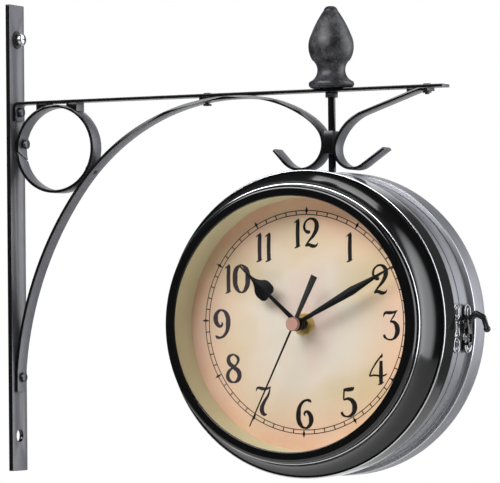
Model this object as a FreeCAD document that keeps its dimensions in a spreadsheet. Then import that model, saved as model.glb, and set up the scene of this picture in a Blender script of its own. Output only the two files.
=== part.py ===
import FreeCAD, Part
import math
import os
import re
import Sketcher
from FreeCAD import Placement, Rotation, Vector

# Double sided station clock on a scrolled wall bracket, in millimetres.
# X runs out from the wall, -Y faces the front dial, Z is up.
# The origin is on the wall face, midway between the two wall holes.

os.makedirs("parts", exist_ok=True)
doc = FreeCAD.newDocument("station_clock")

sizes = {
    # wall plate and strips of the bracket
    "plate_length": 320, "plate_width": 20, "plate_thickness": 3, "plate_corner": 0.8,
    "wall_hole_diameter": 9, "wall_hole_spacing": 272,
    "strip_width": 12, "strip_thickness": 2,
    "arm_top": 93, "arm_reach": 324, "foot_bend": 3, "foot_drop": 13,
    # ring between plate, arm and brace, with the slanting joint of its two ends
    "ring_x": 35.2, "ring_height": 59.85, "ring_diameter": 60.4, "ring_rivet_angle": -30,
    "joint_gap": 1, "joint_low": -7.5, "joint_high": -1, "joint_reach": 7,
    # brace: its foot on the plate, and the start of its sweep up to the arm
    "brace_foot": -106, "brace_foot_length": 11,
    "brace_bend_radius": 30, "brace_bend_angle": 4.5,
    "brace_low_radius": 231, "brace_low_angle": 34.3,
    "scroll_start": 313.45,
    # screws, bolts and nuts of the bracket
    "arm_screw_height": 86, "brace_screw_height": -96, "ring_screw_height": 64,
    "plate_screw_diameter": 4, "plate_head_radius": 3.2, "plate_head_height": 2.4, "plate_recess": 0.5,
    "head_play": 0.1,
    "ring_screw_face": 8.6, "ring_spacer": 1.9, "ring_spacer_flats": 6,
    "arm_bolt_diameter": 3, "bolt_head_radius": 2.6, "bolt_head_height": 0.8,
    "bolt_nut_flats": 5.5, "bolt_nut_height": 1.2, "screw_gap": 0.05, "thread_gap": 0.02,
    "brace_bolt_x": 150, "brace_bolt_reach": 7.8, "brace_nut_top": 86.3,
    "scroll_bolt_x": 310.8, "scroll_bolt_reach": 6.2, "scroll_nut_top": 88.9,
    # hanging rod and the guide between the scrolls
    "rod_x": 242, "rod_diameter": 5, "running_gap": 0.05, "rod_bottom": 21, "rod_top": 129,
    "guide_bottom": 50, "guide_height": 15, "guide_width": 6.3,
    "guide_pin_radius": 1, "guide_pin_offset": 4.3,
    "nut_flats": 8, "nut_height": 3.6, "nut_play": 0.2, "lower_nut_rise": 88.4,
    "washer_radius": 7.5, "washer_thickness": 0.35, "washer_lift": 0.1,
    "saddle_length": 28, "saddle_width": 12, "saddle_thickness": 2, "saddle_rise": 92.1,
    "finial_base": 93.5, "finial_foot": 13.2, "finial_height": 54.2,
    # clock case: depths are counted from the seam between its two halves
    "clock_height": -62, "seam_offset": 14, "seam_gap": 0.15, "part_gap": 0.1,
    "band_radius": 96.5, "inner_radius": 95.3, "sheet_wall": 1.2,
    "hoop_radius": 100, "hoop_start": 15.7, "hoop_end": 32.8, "hoop_round": 0.8, "hoop_shoulder": 2,
    "cove_radius": 90.4, "cove_end": 50, "flange_depth": 51.2, "flange_radius": 85.2,
    "case_depth": 56, "bezel_radius": 89.4, "opening_radius": 82.2, "bezel_seat": 86.9,
    "bezel_outer_round": 2.6, "bezel_inner_round": 0.7, "bezel_lip": 1.3,
    "glass_radius": 86.5, "glass_thickness": 2, "glass_set_back": 1.4,
    "seal_inner": 85.3, "seal_outer": 86.7,
    "dial_radius": 84.8, "dial_back": 30.5, "dial_thickness": 1,
    "wall_foot_radius": 81.8, "wall_lip_radius": 83.8, "wall_set_back": 3.5,
    "carrier_thickness": 1.2, "carrier_opening": 43.5, "carrier_radius": 95.25,
    "lip_radius": 94.1, "lip_sheet": 0.6, "lip_reach": 5, "lip_seat": 7, "lip_outer": 95.25,
    # clockwork behind each dial, counted from the middle and from the back of the movement
    "movement_side": 56, "movement_depth": 15.2, "bush_diameter": 8, "bush_height": 6.1,
    "gear_room_width": 52, "gear_room_height": 31, "gear_room_depth": 12.1, "gear_room_low": -8.5,
    "cell_room_width": 51, "cell_room_height": 15, "cell_room_depth": 14.3, "cell_room_low": -25.5,
    "cell_radius": 7, "cell_length": 48.5, "cell_height": -18, "cell_lift": 7.1,
    "nub_radius": 2.6, "nub_length": 1.5,
    "coil_radius": 4.4, "coil_length": 20, "coil_flange_radius": 5.2, "coil_flange": 1.2,
    "coil_left": -23, "coil_height": 16.6, "coil_lift": 6,
    "board_width": 20, "board_height": 9, "board_thickness": 1, "board_left": 4, "board_low": 12.5,
    "board_lift": 3, "board_hole_radius": 1,
    "cover_width": 54, "cover_height": 33, "cover_low": -9.5, "cover_thickness": 1.2, "cover_hole": 1.5,
    "knob_offset": 16, "knob_radius": 6, "knob_width": 3.6, "knob_rise": 5.2, "knob_stem": 1.2,
    "knob_wheel_radius": 7.7, "knob_wheel_lift": 7.3, "knob_wheel_width": 1,
    "dial_nut_diameter": 14, "dial_nut_height": 2.6, "dial_nut_rim": 0.8,
    "hour_pipe_diameter": 5.1, "minute_pipe_diameter": 3.5, "second_pin_diameter": 1, "pipe_gap": 0.08,
    "hand_thickness": 0.6, "hub_thickness": 1.5,
    "hour_height": 9, "minute_height": 12.4, "second_height": 15.8,
    "cap_diameter": 8.8, "cap_height": 2.2,
    # hinge and latch on the sides of the case
    "leaf_face": 96.55, "leaf_thickness": 1.2, "leaf_half_height": 7.5, "leaf_far": 15,
    "hinge_leaf_near": 2.7, "latch_leaf_near": 0.8,
    "pin_out": 98.9, "knuckle_diameter": 4.6, "knuckle_gap": 0.15, "hinge_pin_diameter": 2.4,
    "pin_end": 0.8, "pin_cap_height": 1, "latch_drop": 4, "latch_height": 32,
    "case_screw_depth": 10, "case_screw_rise": 10.5, "case_screw_diameter": 2, "case_screw_length": 4.5,
    "case_screw_head_radius": 1.9, "case_screw_head": 0.8,
    "hook_pivot_depth": 6.5, "hook_pivot_rise": 4, "hook_reach": 10.5, "hook_front": 3.2, "hook_width": 7.4,
    "hook_end": 4.3, "hook_hub_radius": 4.6, "hook_lift": 1.15, "hook_thickness": 1.8, "hook_swing": 80,
    "hook_slot": 2.3, "hook_slot_play": 0.8, "boss_radius": 4, "boss_height": 1.05,
    "pivot_radius": 1, "pivot_length": 5.4, "pivot_start": 96.6,
    "post_diameter": 3, "post_length": 3.4, "post_head_radius": 1.9, "post_head_height": 1,
}
# bends of the two scrolls: a run is a length, or the radius and angle of a bend, left turns positive
left_scroll_runs = [5.15, (87.75, -33.1), (43.9, -16.7), (16.5, -178.3), 10.8]
right_scroll_runs = [5.0, (14, 19), 39.3, (32.1, 50.8), (12.9, 144.3), 18.5]
# side of the turned finial from its foot to its tip: middle and end of each arc, as radius and height
finial_arcs = [
    ((15.0, 2.0), (14.5, 4.2)), ((9.3, 11.0), (12.6, 18.6)), ((15.0, 26.2), (13.1, 35.6)),
    ((9.0, 44.4), (4.7, 51.2)), ((3.4, 53.3), (1.0, sizes["finial_height"])),
]
# right sides of the hands, drawn upright from the hub to the tip
hour_side = [
    (1.6, 3.4), (1.15, 27.6), ((4.2, 27.6), (6.3, 31.6)), ((6.2, 35.4), (3.9, 38.6)),
    ((1.6, 42.8), (0.95, 47)), (0.5, 56.4),
]
minute_side = [(1.35, 3.4), (1.5, 14), (2.85, 45), (1.0, 64.5), (0.35, 77.5)]
second_side = [(0.7, 3), (0.35, 73.5)]
tail_side = [(1.25, 3), (2.3, 34.2)]
# round lobes of the hinge and latch plates: distance from the seam, from the middle, and radius
plate_lobes = [(9, 10.2, 5.8), (11.6, 8.2, 3.8)]
# finger piece of the latch: distance out from the hook, height above its pivot, and radius
finger_line = [(0, 2.4, 2.1), (3.6, 5.6, 2.0), (8.8, 3.0, 1.8), (11.1, -4.4, 1.9)]
finger_ball = 2.3
# where the hands point, in degrees clockwise from twelve
pose = {"hour": 312.3, "minute": 62.4, "second": 206.2}

sheet = doc.addObject("Spreadsheet::Sheet", "dims")
for row, (alias, number) in enumerate(sizes.items(), start=1):
    sheet.set(f"A{row}", alias)
    sheet.set(f"B{row}", str(number))
    sheet.setAlias(f"B{row}", alias)
doc.recompute()

nodes = []


def dim(alias):
    return float(sheet.get(alias))


def bind(thing, name, text):
    # ties a property to a formula in which words from the table stand for their cells
    def cell(match):
        return "dims." + match.group(0) if match.group(0) in sizes else match.group(0)

    thing.setExpression(name, re.sub(r"[a-z_]{3,}", cell, text))


def keep(thing, label):
    thing.Label = label
    nodes.append(thing)
    return thing


# ---- plain solids ----

TURNS = {
    "Z": Rotation(),
    "X": Rotation(Vector(0, 1, 0), 90),
    "Y": Rotation(Vector(1, 0, 0), -90),
}


def put(thing, x, y, z, along="Z"):
    thing.Placement = Placement(Vector(), TURNS[along])
    for name, text in zip("xyz", (x, y, z)):
        bind(thing, "Placement.Base." + name, text)
    return thing


def cylinder(radius, height, x="0", y="0", z="0", along="Z"):
    solid = doc.addObject("Part::Cylinder", "cylinder")
    bind(solid, "Radius", radius)
    bind(solid, "Height", height)
    return put(solid, x, y, z, along)


def box(length, width, height, x="0", y="0", z="0"):
    solid = doc.addObject("Part::Box", "box")
    bind(solid, "Length", length)
    bind(solid, "Width", width)
    bind(solid, "Height", height)
    return put(solid, x, y, z)


def hexagon(flats, height, x="0", y="0", z="0", along="Z"):
    solid = doc.addObject("Part::Prism", "hexagon")
    solid.Polygon = 6
    bind(solid, "Circumradius", f"({flats}) / sqrt(3)")
    bind(solid, "Height", height)
    return put(solid, x, y, z, along)


def ball(radius, x, y, z):
    solid = doc.addObject("Part::Sphere", "ball")
    bind(solid, "Radius", radius)
    return put(solid, x, y, z)


def join(*parts):
    solid = doc.addObject("Part::MultiFuse", "join")
    solid.Shapes = list(parts)
    solid.Refine = True
    return solid


def cut(base, *tools):
    solid = doc.addObject("Part::Cut", "cut")
    solid.Base = base
    solid.Tool = tools[0] if len(tools) == 1 else join(*tools)
    solid.Refine = True
    return solid


def group(*parts):
    solid = doc.addObject("Part::Compound", "group")
    solid.Links = list(parts)
    return solid


def screw(head_radius, head_height, shank_radius, shank_length, x, y, z, along):
    # a round head that starts at (x, y, z) and stands out, and a shank that runs the other way
    head = cylinder(head_radius, head_height, x, y, z, along)
    start = {"X": (f"{x} - ({shank_length})", y, z), "Z": (x, y, f"{z} - ({shank_length})")}[along]
    shank = cylinder(shank_radius, f"({shank_length}) + 0.2", *start, along)
    return join(head, shank)


# ---- sketched bodies ----

def new_body(name):
    return doc.addObject("PartDesign::Body", name)


def new_sketch(body, role, edges, lift=None):
    sketch = body.newObject("Sketcher::SketchObject", body.Name + "_sketch")
    support = next(item for item in body.Origin.OriginFeatures if item.Role == role)
    sketch.AttachmentSupport = [(support, "")]
    sketch.MapMode = "FlatFace"
    if lift:
        bind(sketch, "AttachmentOffset.Base.z", lift)
    ends = []
    for edge in edges:
        index = sketch.addGeometry(edge, False)
        if not isinstance(edge, Part.Circle):
            ends += [(index, 1), (index, 2)]
    for number, (first, side) in enumerate(ends):
        for second, other in ends[number + 1:]:
            gap = sketch.getPoint(first, side).distanceToPoint(sketch.getPoint(second, other))
            if first != second and gap < 1e-6:
                sketch.addConstraint(Sketcher.Constraint("Coincident", first, side, second, other))
    return sketch


def round_hole(sketch, x, y, diameter):
    # a circle whose diameter is tied to the sheet
    index = sketch.addGeometry(Part.Circle(Vector(x, y, 0), Vector(0, 0, 1), 1), False)
    number = sketch.addConstraint(Sketcher.Constraint("Diameter", index, 2))
    bind(sketch, f"Constraints[{number}]", diameter)
    for sort, place in (("DistanceX", x), ("DistanceY", y)):
        sketch.addConstraint(Sketcher.Constraint(sort, -1, 1, index, 3, place))


def feature(body, kind, sketch, **settings):
    item = body.newObject("PartDesign::" + kind, body.Name + "_" + kind.lower())
    item.Profile = sketch
    for name, value in settings.items():
        if isinstance(value, str) and name in ("Length", "Length2", "Angle"):
            bind(item, name, value)
        else:
            setattr(item, name, value)
    return item


def pad(body, sketch, length, middle=False):
    return feature(body, "Pad", sketch, Length=length, Midplane=middle)


def revolve(body, sketch):
    return feature(body, "Revolution", sketch, ReferenceAxis=(sketch, ["V_Axis"]), Angle="360")


def drill(body, role, spots, diameter, both=True, length=None, lift=None):
    sketch = new_sketch(body, role, [], lift)
    for x, y in spots:
        round_hole(sketch, x, y, diameter)
    settings = {"Type": "ThroughAll"} if length is None else {"Type": "Length", "Length": length}
    return feature(body, "Pocket", sketch, Midplane=both, **settings)


def outline(start, *steps):
    # closed outline: a step is a corner (x, y), or an arc given as ((middle), (end))
    edges = []
    here = Vector(*start)
    for step in list(steps) + [start]:
        arc = isinstance(step[0], tuple)
        end = Vector(*step[1]) if arc else Vector(*step)
        if arc:
            edges.append(Part.Arc(here, Vector(*step[0]), end))
        elif here.distanceToPoint(end) > 1e-7:
            edges.append(Part.LineSegment(here, end))
        here = end
    return edges


def turn(x, y, radius, first, last):
    # arc step about (x, y) from one angle to another
    spots = [math.radians(angle) for angle in ((first + last) / 2, last)]
    return tuple((x + radius * math.cos(a), y + radius * math.sin(a)) for a in spots)


def strip_outline(start, heading, runs, thickness):
    # sides of a bent strip: a run is a length, or (radius, angle) with left turns positive
    sides = {1: [], -1: []}
    here = Vector(*start)
    angle = math.radians(heading)

    def edge_point(spot, direction, side):
        across = Vector(-math.sin(direction), math.cos(direction))
        return spot + across * (side * thickness / 2)

    first = {side: edge_point(here, angle, side) for side in sides}
    for run in runs:
        if isinstance(run, tuple):
            radius, bend = run[0], math.radians(run[1])
            sign = math.copysign(1, bend)
            hub = here + Vector(-math.sin(angle), math.cos(angle)) * (sign * radius)
            spots = []
            for share in (0.5, 1):
                direction = angle + bend * share
                out = Vector(math.sin(direction), -math.cos(direction)) * (sign * radius)
                spots.append((hub + out, direction))
            for side in sides:
                sides[side].append([edge_point(*spots[0], side), edge_point(*spots[1], side)])
            here, angle = spots[1]
        else:
            here = here + Vector(math.cos(angle), math.sin(angle)) * run
            for side in sides:
                sides[side].append([edge_point(here, angle, side)])
    edges = []
    last = {}
    for side, start_point in first.items():
        spot = start_point
        for step in sides[side]:
            edges.append(Part.Arc(spot, *step) if len(step) == 2 else Part.LineSegment(spot, *step))
            spot = step[-1]
        last[side] = spot
    edges.append(Part.LineSegment(last[1], last[-1]))
    edges.append(Part.LineSegment(first[1], first[-1]))
    return edges, here, math.degrees(angle)


# ---- bracket ----

middle = dim("strip_thickness") / 2
arm_line = dim("arm_top") - middle
face_line = dim("plate_thickness") + middle
rod_x = dim("rod_x")
touch = 0.01
under_arm = arm_line - dim("strip_thickness") - touch
plate_hole = "plate_screw_diameter + 2 * screw_gap"
arm_hole = "arm_bolt_diameter + 2 * screw_gap"
bolt_radius = "arm_bolt_diameter / 2"
up_through_strip = "-arm_top - 2"


def make_wall_plate():
    body = keep(new_body("wall_plate"), "wall_plate")
    corner = dim("plate_corner")
    side, end = dim("plate_width") / 2, dim("plate_length") / 2
    near, far = side - corner, end - corner
    plate = outline(
        (-near, -end), (near, -end), turn(near, -far, corner, -90, 0),
        (side, far), turn(near, far, corner, 0, 90),
        (-near, end), turn(-near, far, corner, 90, 180),
        (-side, -far), turn(-near, -far, corner, 180, 270),
    )
    pad(body, new_sketch(body, "YZ_Plane", plate), "plate_thickness")
    hole_z = dim("wall_hole_spacing") / 2
    drill(body, "YZ_Plane", [(0, -hole_z), (0, hole_z)], "wall_hole_diameter")
    screws = [(0, dim(name + "_screw_height")) for name in ("arm", "brace", "ring")]
    drill(body, "YZ_Plane", screws, plate_hole)


def make_strip(label, edges):
    body = new_body(label)
    pad(body, new_sketch(body, "XZ_Plane", edges), "strip_width", middle=True)
    return body


def make_top_arm():
    bend = dim("foot_bend")
    start = (face_line, dim("arm_top") - dim("foot_drop"))
    rise = arm_line - bend - start[1]
    run = dim("arm_reach") - face_line - bend
    edges, _, _ = strip_outline(start, 90, [rise, (bend, -90), run], dim("strip_thickness"))
    body = keep(make_strip("top_arm", edges), "top_arm")
    drill(body, "XY_Plane", [(rod_x, 0)], "rod_diameter + 2 * running_gap")
    drill(body, "XY_Plane", [(dim("brace_bolt_x"), 0), (dim("scroll_bolt_x"), 0)], arm_hole)
    drill(body, "YZ_Plane", [(0, dim("arm_screw_height"))], plate_hole)


def brace_runs():
    # the last sweep closes the climb to the arm, so its radius follows from the others
    lean = 90 - dim("brace_bend_angle")
    steep = lean - dim("brace_low_angle")
    runs = [
        dim("brace_foot_length"),
        (dim("brace_bend_radius"), -dim("brace_bend_angle")),
        (dim("brace_low_radius"), -dim("brace_low_angle")),
    ]
    _, reached, _ = strip_outline((face_line, dim("brace_foot")), 90, runs, dim("strip_thickness"))
    climb = under_arm - reached.y
    radius = climb / (1 - math.cos(math.radians(steep)))
    hub = Vector(reached.x + radius * math.sin(math.radians(steep)), 0, under_arm - radius)
    return runs + [(radius, -steep)], hub, radius


def ring_spoke(radius, near, far):
    # cylinder that points from the ring's centre through ring and brace, between two radii
    angle = math.radians(dim("ring_rivet_angle"))
    way = Vector(math.cos(angle), 0, math.sin(angle))
    x, z = f"ring_x + {near * way.x}", f"ring_height + {near * way.z}"
    solid = cylinder(radius, str(far - near), x, "0", z)
    solid.Placement.Rotation = Rotation(Vector(0, 0, 1), way)
    return solid


def rivet_hole(body, label):
    inside, outside = 20, 40
    return keep(cut(body, ring_spoke(f"{bolt_radius} + screw_gap", inside, outside)), label)


def make_curved_brace():
    sweeps, _, _ = brace_runs()
    runs = sweeps + left_scroll_runs
    edges, _, _ = strip_outline((face_line, dim("brace_foot")), 90, runs, dim("strip_thickness"))
    body = make_strip("brace_strip", edges)
    foot_screw = [(0, dim("brace_screw_height"))]
    # the drill starts past the foot, so it leaves the rest of the strip whole
    drill(body, "YZ_Plane", foot_screw, plate_hole, both=False, length="20", lift="20")
    drill(body, "XY_Plane", [(dim("brace_bolt_x"), 0)], arm_hole, both=False, length=up_through_strip)
    rivet_hole(body, "curved_brace")


def make_right_scroll():
    # a short flat under the arm's end, a straight fall, then two tightening curves and a flared end
    start = (dim("scroll_start"), under_arm)
    edges, _, _ = strip_outline(start, 180, right_scroll_runs, dim("strip_thickness"))
    body = make_strip("scroll_strip", edges)
    drill(body, "XY_Plane", [(dim("scroll_bolt_x"), 0)], arm_hole, both=False, length=up_through_strip)
    keep(body, "right_scroll")


def make_bracket_ring():
    body = new_body("ring_strip")
    x, z = dim("ring_x"), dim("ring_height")
    sketch = new_sketch(body, "XZ_Plane", [])
    round_hole(sketch, x, z, "ring_diameter")
    round_hole(sketch, x, z, "ring_diameter - 2 * strip_thickness")
    pad(body, sketch, "strip_width", middle=True)
    # the two ends of the strip meet in a slanting joint on the wall side
    low, high = z + dim("joint_low"), z + dim("joint_high")
    half, reach = dim("joint_gap") / 2, dim("joint_reach")
    joint = outline((-reach, high - half), (reach, low - half), (reach, low + half), (-reach, high + half))
    cutter = new_sketch(body, "YZ_Plane", joint)
    feature(body, "Pocket", cutter, Type="Length", Length="15", Reversed=True)
    screw_spot = [(0, dim("ring_screw_height"))]
    drill(body, "YZ_Plane", screw_spot, plate_hole, both=False, length="-15")
    rivet_hole(body, "bracket_ring")


def wedge(left, width, height):
    # block that reaches down from the arm's underside, before it is cut to what it sits on
    bottom = f"arm_top - strip_thickness - {touch} - {height}"
    return box(str(width), "strip_width - 1", str(height), str(left), "(1 - strip_width) / 2", bottom)


def make_wedges():
    # filler metal in the narrow gaps between the arm and the strips that leave it
    clear = 0.02
    ring = cylinder(f"ring_diameter / 2 + {clear}", "20", "ring_x", "-10", "ring_height", "Y")
    _, hub, sweep = brace_runs()
    brace_side = f"{sweep} + strip_thickness / 2 + {clear}"
    under_brace = cylinder(brace_side, "20", str(hub.x), "-10", str(hub.z), "Y")
    # the top face of the falling scroll, just behind its first bend
    lean = Rotation(Vector(0, 1, 0), -right_scroll_runs[1][1])
    length, depth = 20, 8.91
    corner = Vector(303.9, -length / 2, 90.23) + lean.multVec(Vector(-length, 0, -depth))
    slope = box(str(length), str(length), "9", str(corner.x), str(corner.y), str(corner.z))
    slope.Placement.Rotation = lean
    stem = cylinder(f"{bolt_radius} + screw_gap", "20", "brace_bolt_x", "0", "80")
    keep(group(
        cut(wedge(21, 7.5, 6), ring),
        cut(wedge(44.5, 8, 6), ring),
        cut(wedge(146.5, 7, 3), under_brace, stem),
        cut(wedge(298.5, 5, 4), slope),
    ), "arm_wedges")


def plate_screw(height, face):
    head = ("plate_head_radius", "plate_head_height")
    return screw(*head, "plate_screw_diameter / 2", f"{face} - plate_recess", face, "0", height, "X")


def arm_bolt(name):
    x = name + "_bolt_x"
    head = ("bolt_head_radius", "bolt_head_height")
    bolt = screw(*head, bolt_radius, name + "_bolt_reach", x, "0", "arm_top", "Z")
    low = f"{name}_nut_top - bolt_nut_height"
    nut = hexagon("bolt_nut_flats", "bolt_nut_height", x, "0", low)
    return bolt, cut(nut, cylinder(f"{bolt_radius} + thread_gap", "6", x, "0", f"{low} - 2"))


def make_bracket_fasteners():
    foot_face = "plate_thickness + strip_thickness"
    screws = [
        plate_screw("arm_screw_height", foot_face),
        plate_screw("brace_screw_height", f"{foot_face} + head_play"),
        plate_screw("ring_screw_height", "ring_screw_face"),
    ]
    nuts = []
    for name in ("brace", "scroll"):
        bolt, nut = arm_bolt(name)
        screws.append(bolt)
        nuts.append(nut)
    rivet_body = ring_spoke(bolt_radius, 27.2, 33.6)
    inner_head, collar = ring_spoke("2.7", 26.2, 27.6), ring_spoke("2.4", 30.3, 30.5)
    screws.append(join(rivet_body, inner_head, collar))
    start = "plate_thickness + thread_gap"
    spacer = hexagon("ring_spacer_flats", "ring_spacer", start, "0", "ring_screw_height", "X")
    bore_radius = "plate_screw_diameter / 2 + screw_gap"
    bore = cylinder(bore_radius, "6", "plate_thickness - 1", "0", "ring_screw_height", "X")
    nuts.append(cut(spacer, bore))
    keep(group(*screws), "bracket_screws")
    keep(group(*nuts), "bracket_nuts")


def make_rod_guide():
    block = box(
        "guide_width", "strip_width", "guide_height",
        "rod_x - guide_width / 2", "-strip_width / 2", "guide_bottom",
    )
    bore = cylinder("rod_diameter / 2 + running_gap", "guide_height + 2", "rod_x", "0", "guide_bottom - 1")
    pin_z = "guide_bottom + guide_height / 2"
    bores, pins = [], []
    for y in ("guide_pin_offset", "-guide_pin_offset"):
        bores.append(cylinder("guide_pin_radius + screw_gap", "20", "rod_x - 10", y, pin_z, "X"))
        start = "rod_x - guide_width / 2 + screw_gap"
        pins.append(cylinder("guide_pin_radius", "guide_width - 2 * screw_gap", start, y, pin_z, "X"))
    keep(cut(block, bore, *bores), "rod_guide")
    keep(group(*pins), "guide_pins")


# ---- rod and finial, which turn with the clock ----

def pierced(solid, radius, base):
    # the solid with a hole along the rod's line, which starts one millimetre under its base
    return cut(solid, cylinder(radius, "8", "rod_x", "0", f"{base} - 1"))


def make_rod():
    keep(cylinder("rod_diameter / 2", "rod_top - rod_bottom", "rod_x", "0", "rod_bottom"), "hanger_rod")
    nuts = []
    for z in ("arm_top - strip_thickness - nut_height - nut_play", "clock_height + lower_nut_rise"):
        nut = hexagon("nut_flats", "nut_height", "rod_x", "0", z)
        nuts.append(pierced(nut, "rod_diameter / 2 + thread_gap", z))
    keep(group(*nuts), "rod_nuts")
    washer_z = "arm_top + washer_lift"
    disc = cylinder("washer_radius", "washer_thickness", "rod_x", "0", washer_z)
    keep(pierced(disc, "rod_diameter / 2 + running_gap", washer_z), "finial_washer")
    saddle_z = "clock_height + saddle_rise"
    saddle = box(
        "saddle_length", "saddle_width", "saddle_thickness",
        "rod_x - saddle_length / 2", "-saddle_width / 2", saddle_z,
    )
    keep(pierced(saddle, "rod_diameter / 2 + running_gap", saddle_z), "saddle_plate")


def make_finial():
    body = keep(new_body("finial"), "finial")
    profile = outline((0, 0), (dim("finial_foot"), 0), *finial_arcs, (0, dim("finial_height")))
    revolve(body, new_sketch(body, "XZ_Plane", profile))
    bore_depth = "-(rod_top - finial_base + 0.5)"
    drill(body, "XY_Plane", [(0, 0)], "rod_diameter + 2 * thread_gap", both=False, length=bore_depth)
    bind(body, "Placement.Base.x", "rod_x")
    bind(body, "Placement.Base.z", "finial_base")


# ---- the two halves of the clock ----
# In a half's own frame x is to the reader's right, y is up and z is the depth out of the seam.

SIDES = {
    "front": Rotation(Vector(1, 0, 0), 90),
    "rear": Rotation(Vector(0, 0, 1), 180).multiply(Rotation(Vector(1, 0, 0), 90)),
}


def seat(thing, side, depth="0"):
    # moves a finished piece from its half's own frame onto the object
    sign = "-" if side == "front" else "+"
    thing.Placement = Placement(Vector(), SIDES[side])
    bind(thing, "Placement.Base.x", "rod_x")
    bind(thing, "Placement.Base.y", f"-seam_offset {sign} ({depth})")
    bind(thing, "Placement.Base.z", "clock_height")
    return thing


def turned(label, side, profile):
    body = keep(new_body(label), label)
    revolve(body, new_sketch(body, "XZ_Plane", profile))
    return seat(body, side)


def cove(hub_x, radius, low, high):
    # arc step along the hollow shoulder, given by the depths of its two ends
    angles = [180 + math.degrees(math.asin((dim("cove_end") - depth) / radius)) for depth in (low, high)]
    return turn(hub_x, dim("cove_end"), radius, *angles)


def shell_profile():
    # band, hoop that stands proud of it and is hollow inside, cove, neck and inward flange
    band, hoop, inner = dim("band_radius"), dim("hoop_radius"), dim("inner_radius")
    start, end, bead, wall = dim("hoop_start"), dim("hoop_end"), dim("hoop_round"), dim("sheet_wall")
    shoulder, low = hoop - dim("hoop_shoulder"), end + 0.2
    neck, top = dim("cove_radius"), dim("cove_end")
    radius = ((shoulder - neck) ** 2 + (top - low) ** 2) / (2 * (shoulder - neck))
    back = dim("flange_depth") - wall
    inner_low = dim("dial_back") + dim("part_gap")
    inner_x = neck + radius - math.sqrt((radius + wall) ** 2 - (top - inner_low) ** 2)
    hollow, hollow_end = hoop - wall, dim("dial_back") - 3
    return outline(
        (inner, dim("seam_gap")), (band, dim("seam_gap")), (band, start), (hoop - bead, start),
        turn(hoop - bead, start + bead, bead, -90, 0), (hoop, end - bead),
        turn(hoop - bead, end - bead, bead, 0, 90), (shoulder, end), (shoulder, low),
        cove(neck + radius, radius, low, top), (neck, dim("flange_depth")),
        (dim("flange_radius"), dim("flange_depth")), (dim("flange_radius"), back), (neck - wall, back),
        (neck - wall, top), cove(neck + radius, radius + wall, top, inner_low), (inner, inner_low),
        (inner, hollow_end), (hollow, hollow_end), (hollow, start + wall), (inner, start + wall),
    )


def make_shell(side):
    body = turned(side + "_shell", side, shell_profile())
    rise, drop, depth = dim("case_screw_rise"), dim("latch_drop"), dim("case_screw_depth")
    screws = [(-drop - rise, depth), (-drop + rise, depth)]
    drill(body, "YZ_Plane", screws, "case_screw_diameter + 2 * screw_gap")
    if side == "rear":
        rod_spot = [(0, dim("seam_offset"))]
        drill(body, "XZ_Plane", rod_spot, "rod_diameter + 2 * running_gap", both=False, length="120")


def make_bezel(side):
    outer, opening, front = dim("bezel_radius"), dim("opening_radius"), dim("case_depth")
    seated, low, lip = dim("bezel_seat"), dim("flange_depth") + dim("part_gap"), front - dim("bezel_lip")
    edge, soft = dim("bezel_outer_round"), dim("bezel_inner_round")
    turned(side + "_bezel", side, outline(
        (seated, low), (outer, low), (outer, front - edge), turn(outer - edge, front - edge, edge, 0, 90),
        (opening + soft, front), turn(opening + soft, front - soft, soft, 90, 180), (opening, lip),
        (seated, lip),
    ))


def make_glazing(side):
    glass_back = "case_depth - glass_set_back - glass_thickness"
    glass = cylinder("glass_radius", "glass_thickness")
    keep(seat(glass, side, glass_back), side + "_glass")
    low = dim("flange_depth") + dim("part_gap")
    high = dim("case_depth") - dim("glass_set_back") - dim("glass_thickness") - 0.05
    inner, outer = dim("seal_inner"), dim("seal_outer")
    turned(side + "_glass_seal", side, outline((inner, low), (outer, low), (outer, high), (inner, high)))


def make_dial(side):
    gap = 0.02
    back, face = dim("dial_back"), dim("dial_back") + dim("dial_thickness")
    wall_top, radius = dim("case_depth") - dim("wall_set_back"), dim("dial_radius")
    turned(side + "_inner_wall", side, outline(
        (dim("wall_foot_radius"), face + gap), (radius, face + gap), (radius, wall_top),
        (dim("wall_lip_radius"), wall_top),
    ))
    bush = dim("bush_diameter") / 2 + 0.2
    turned(side + "_dial", side, outline((bush, back), (radius, back), (radius, face), (bush, face)))
    low, high = back - dim("carrier_thickness") - gap, back - gap
    inner, outer = dim("carrier_opening"), dim("carrier_radius")
    turned(side + "_dial_carrier", side, outline((inner, low), (outer, low), (outer, high), (inner, high)))


def make_seam_lip():
    inner, outer, tongue = dim("lip_radius"), dim("lip_outer"), dim("lip_radius") + dim("lip_sheet")
    step, end, reach = dim("seam_gap"), dim("lip_seat"), -dim("lip_reach")
    turned("seam_lip", "rear", outline(
        (inner, reach), (tongue, reach), (tongue, step), (outer, step), (outer, end), (inner, end),
    ))


# ---- clockwork, hands and knob of one dial ----

# depths of the movement's dial side and of its open back
movement_front = dim("dial_back") - 0.02
movement_back = movement_front - dim("movement_depth")
dial_face = dim("dial_back") + dim("dial_thickness")


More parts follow.
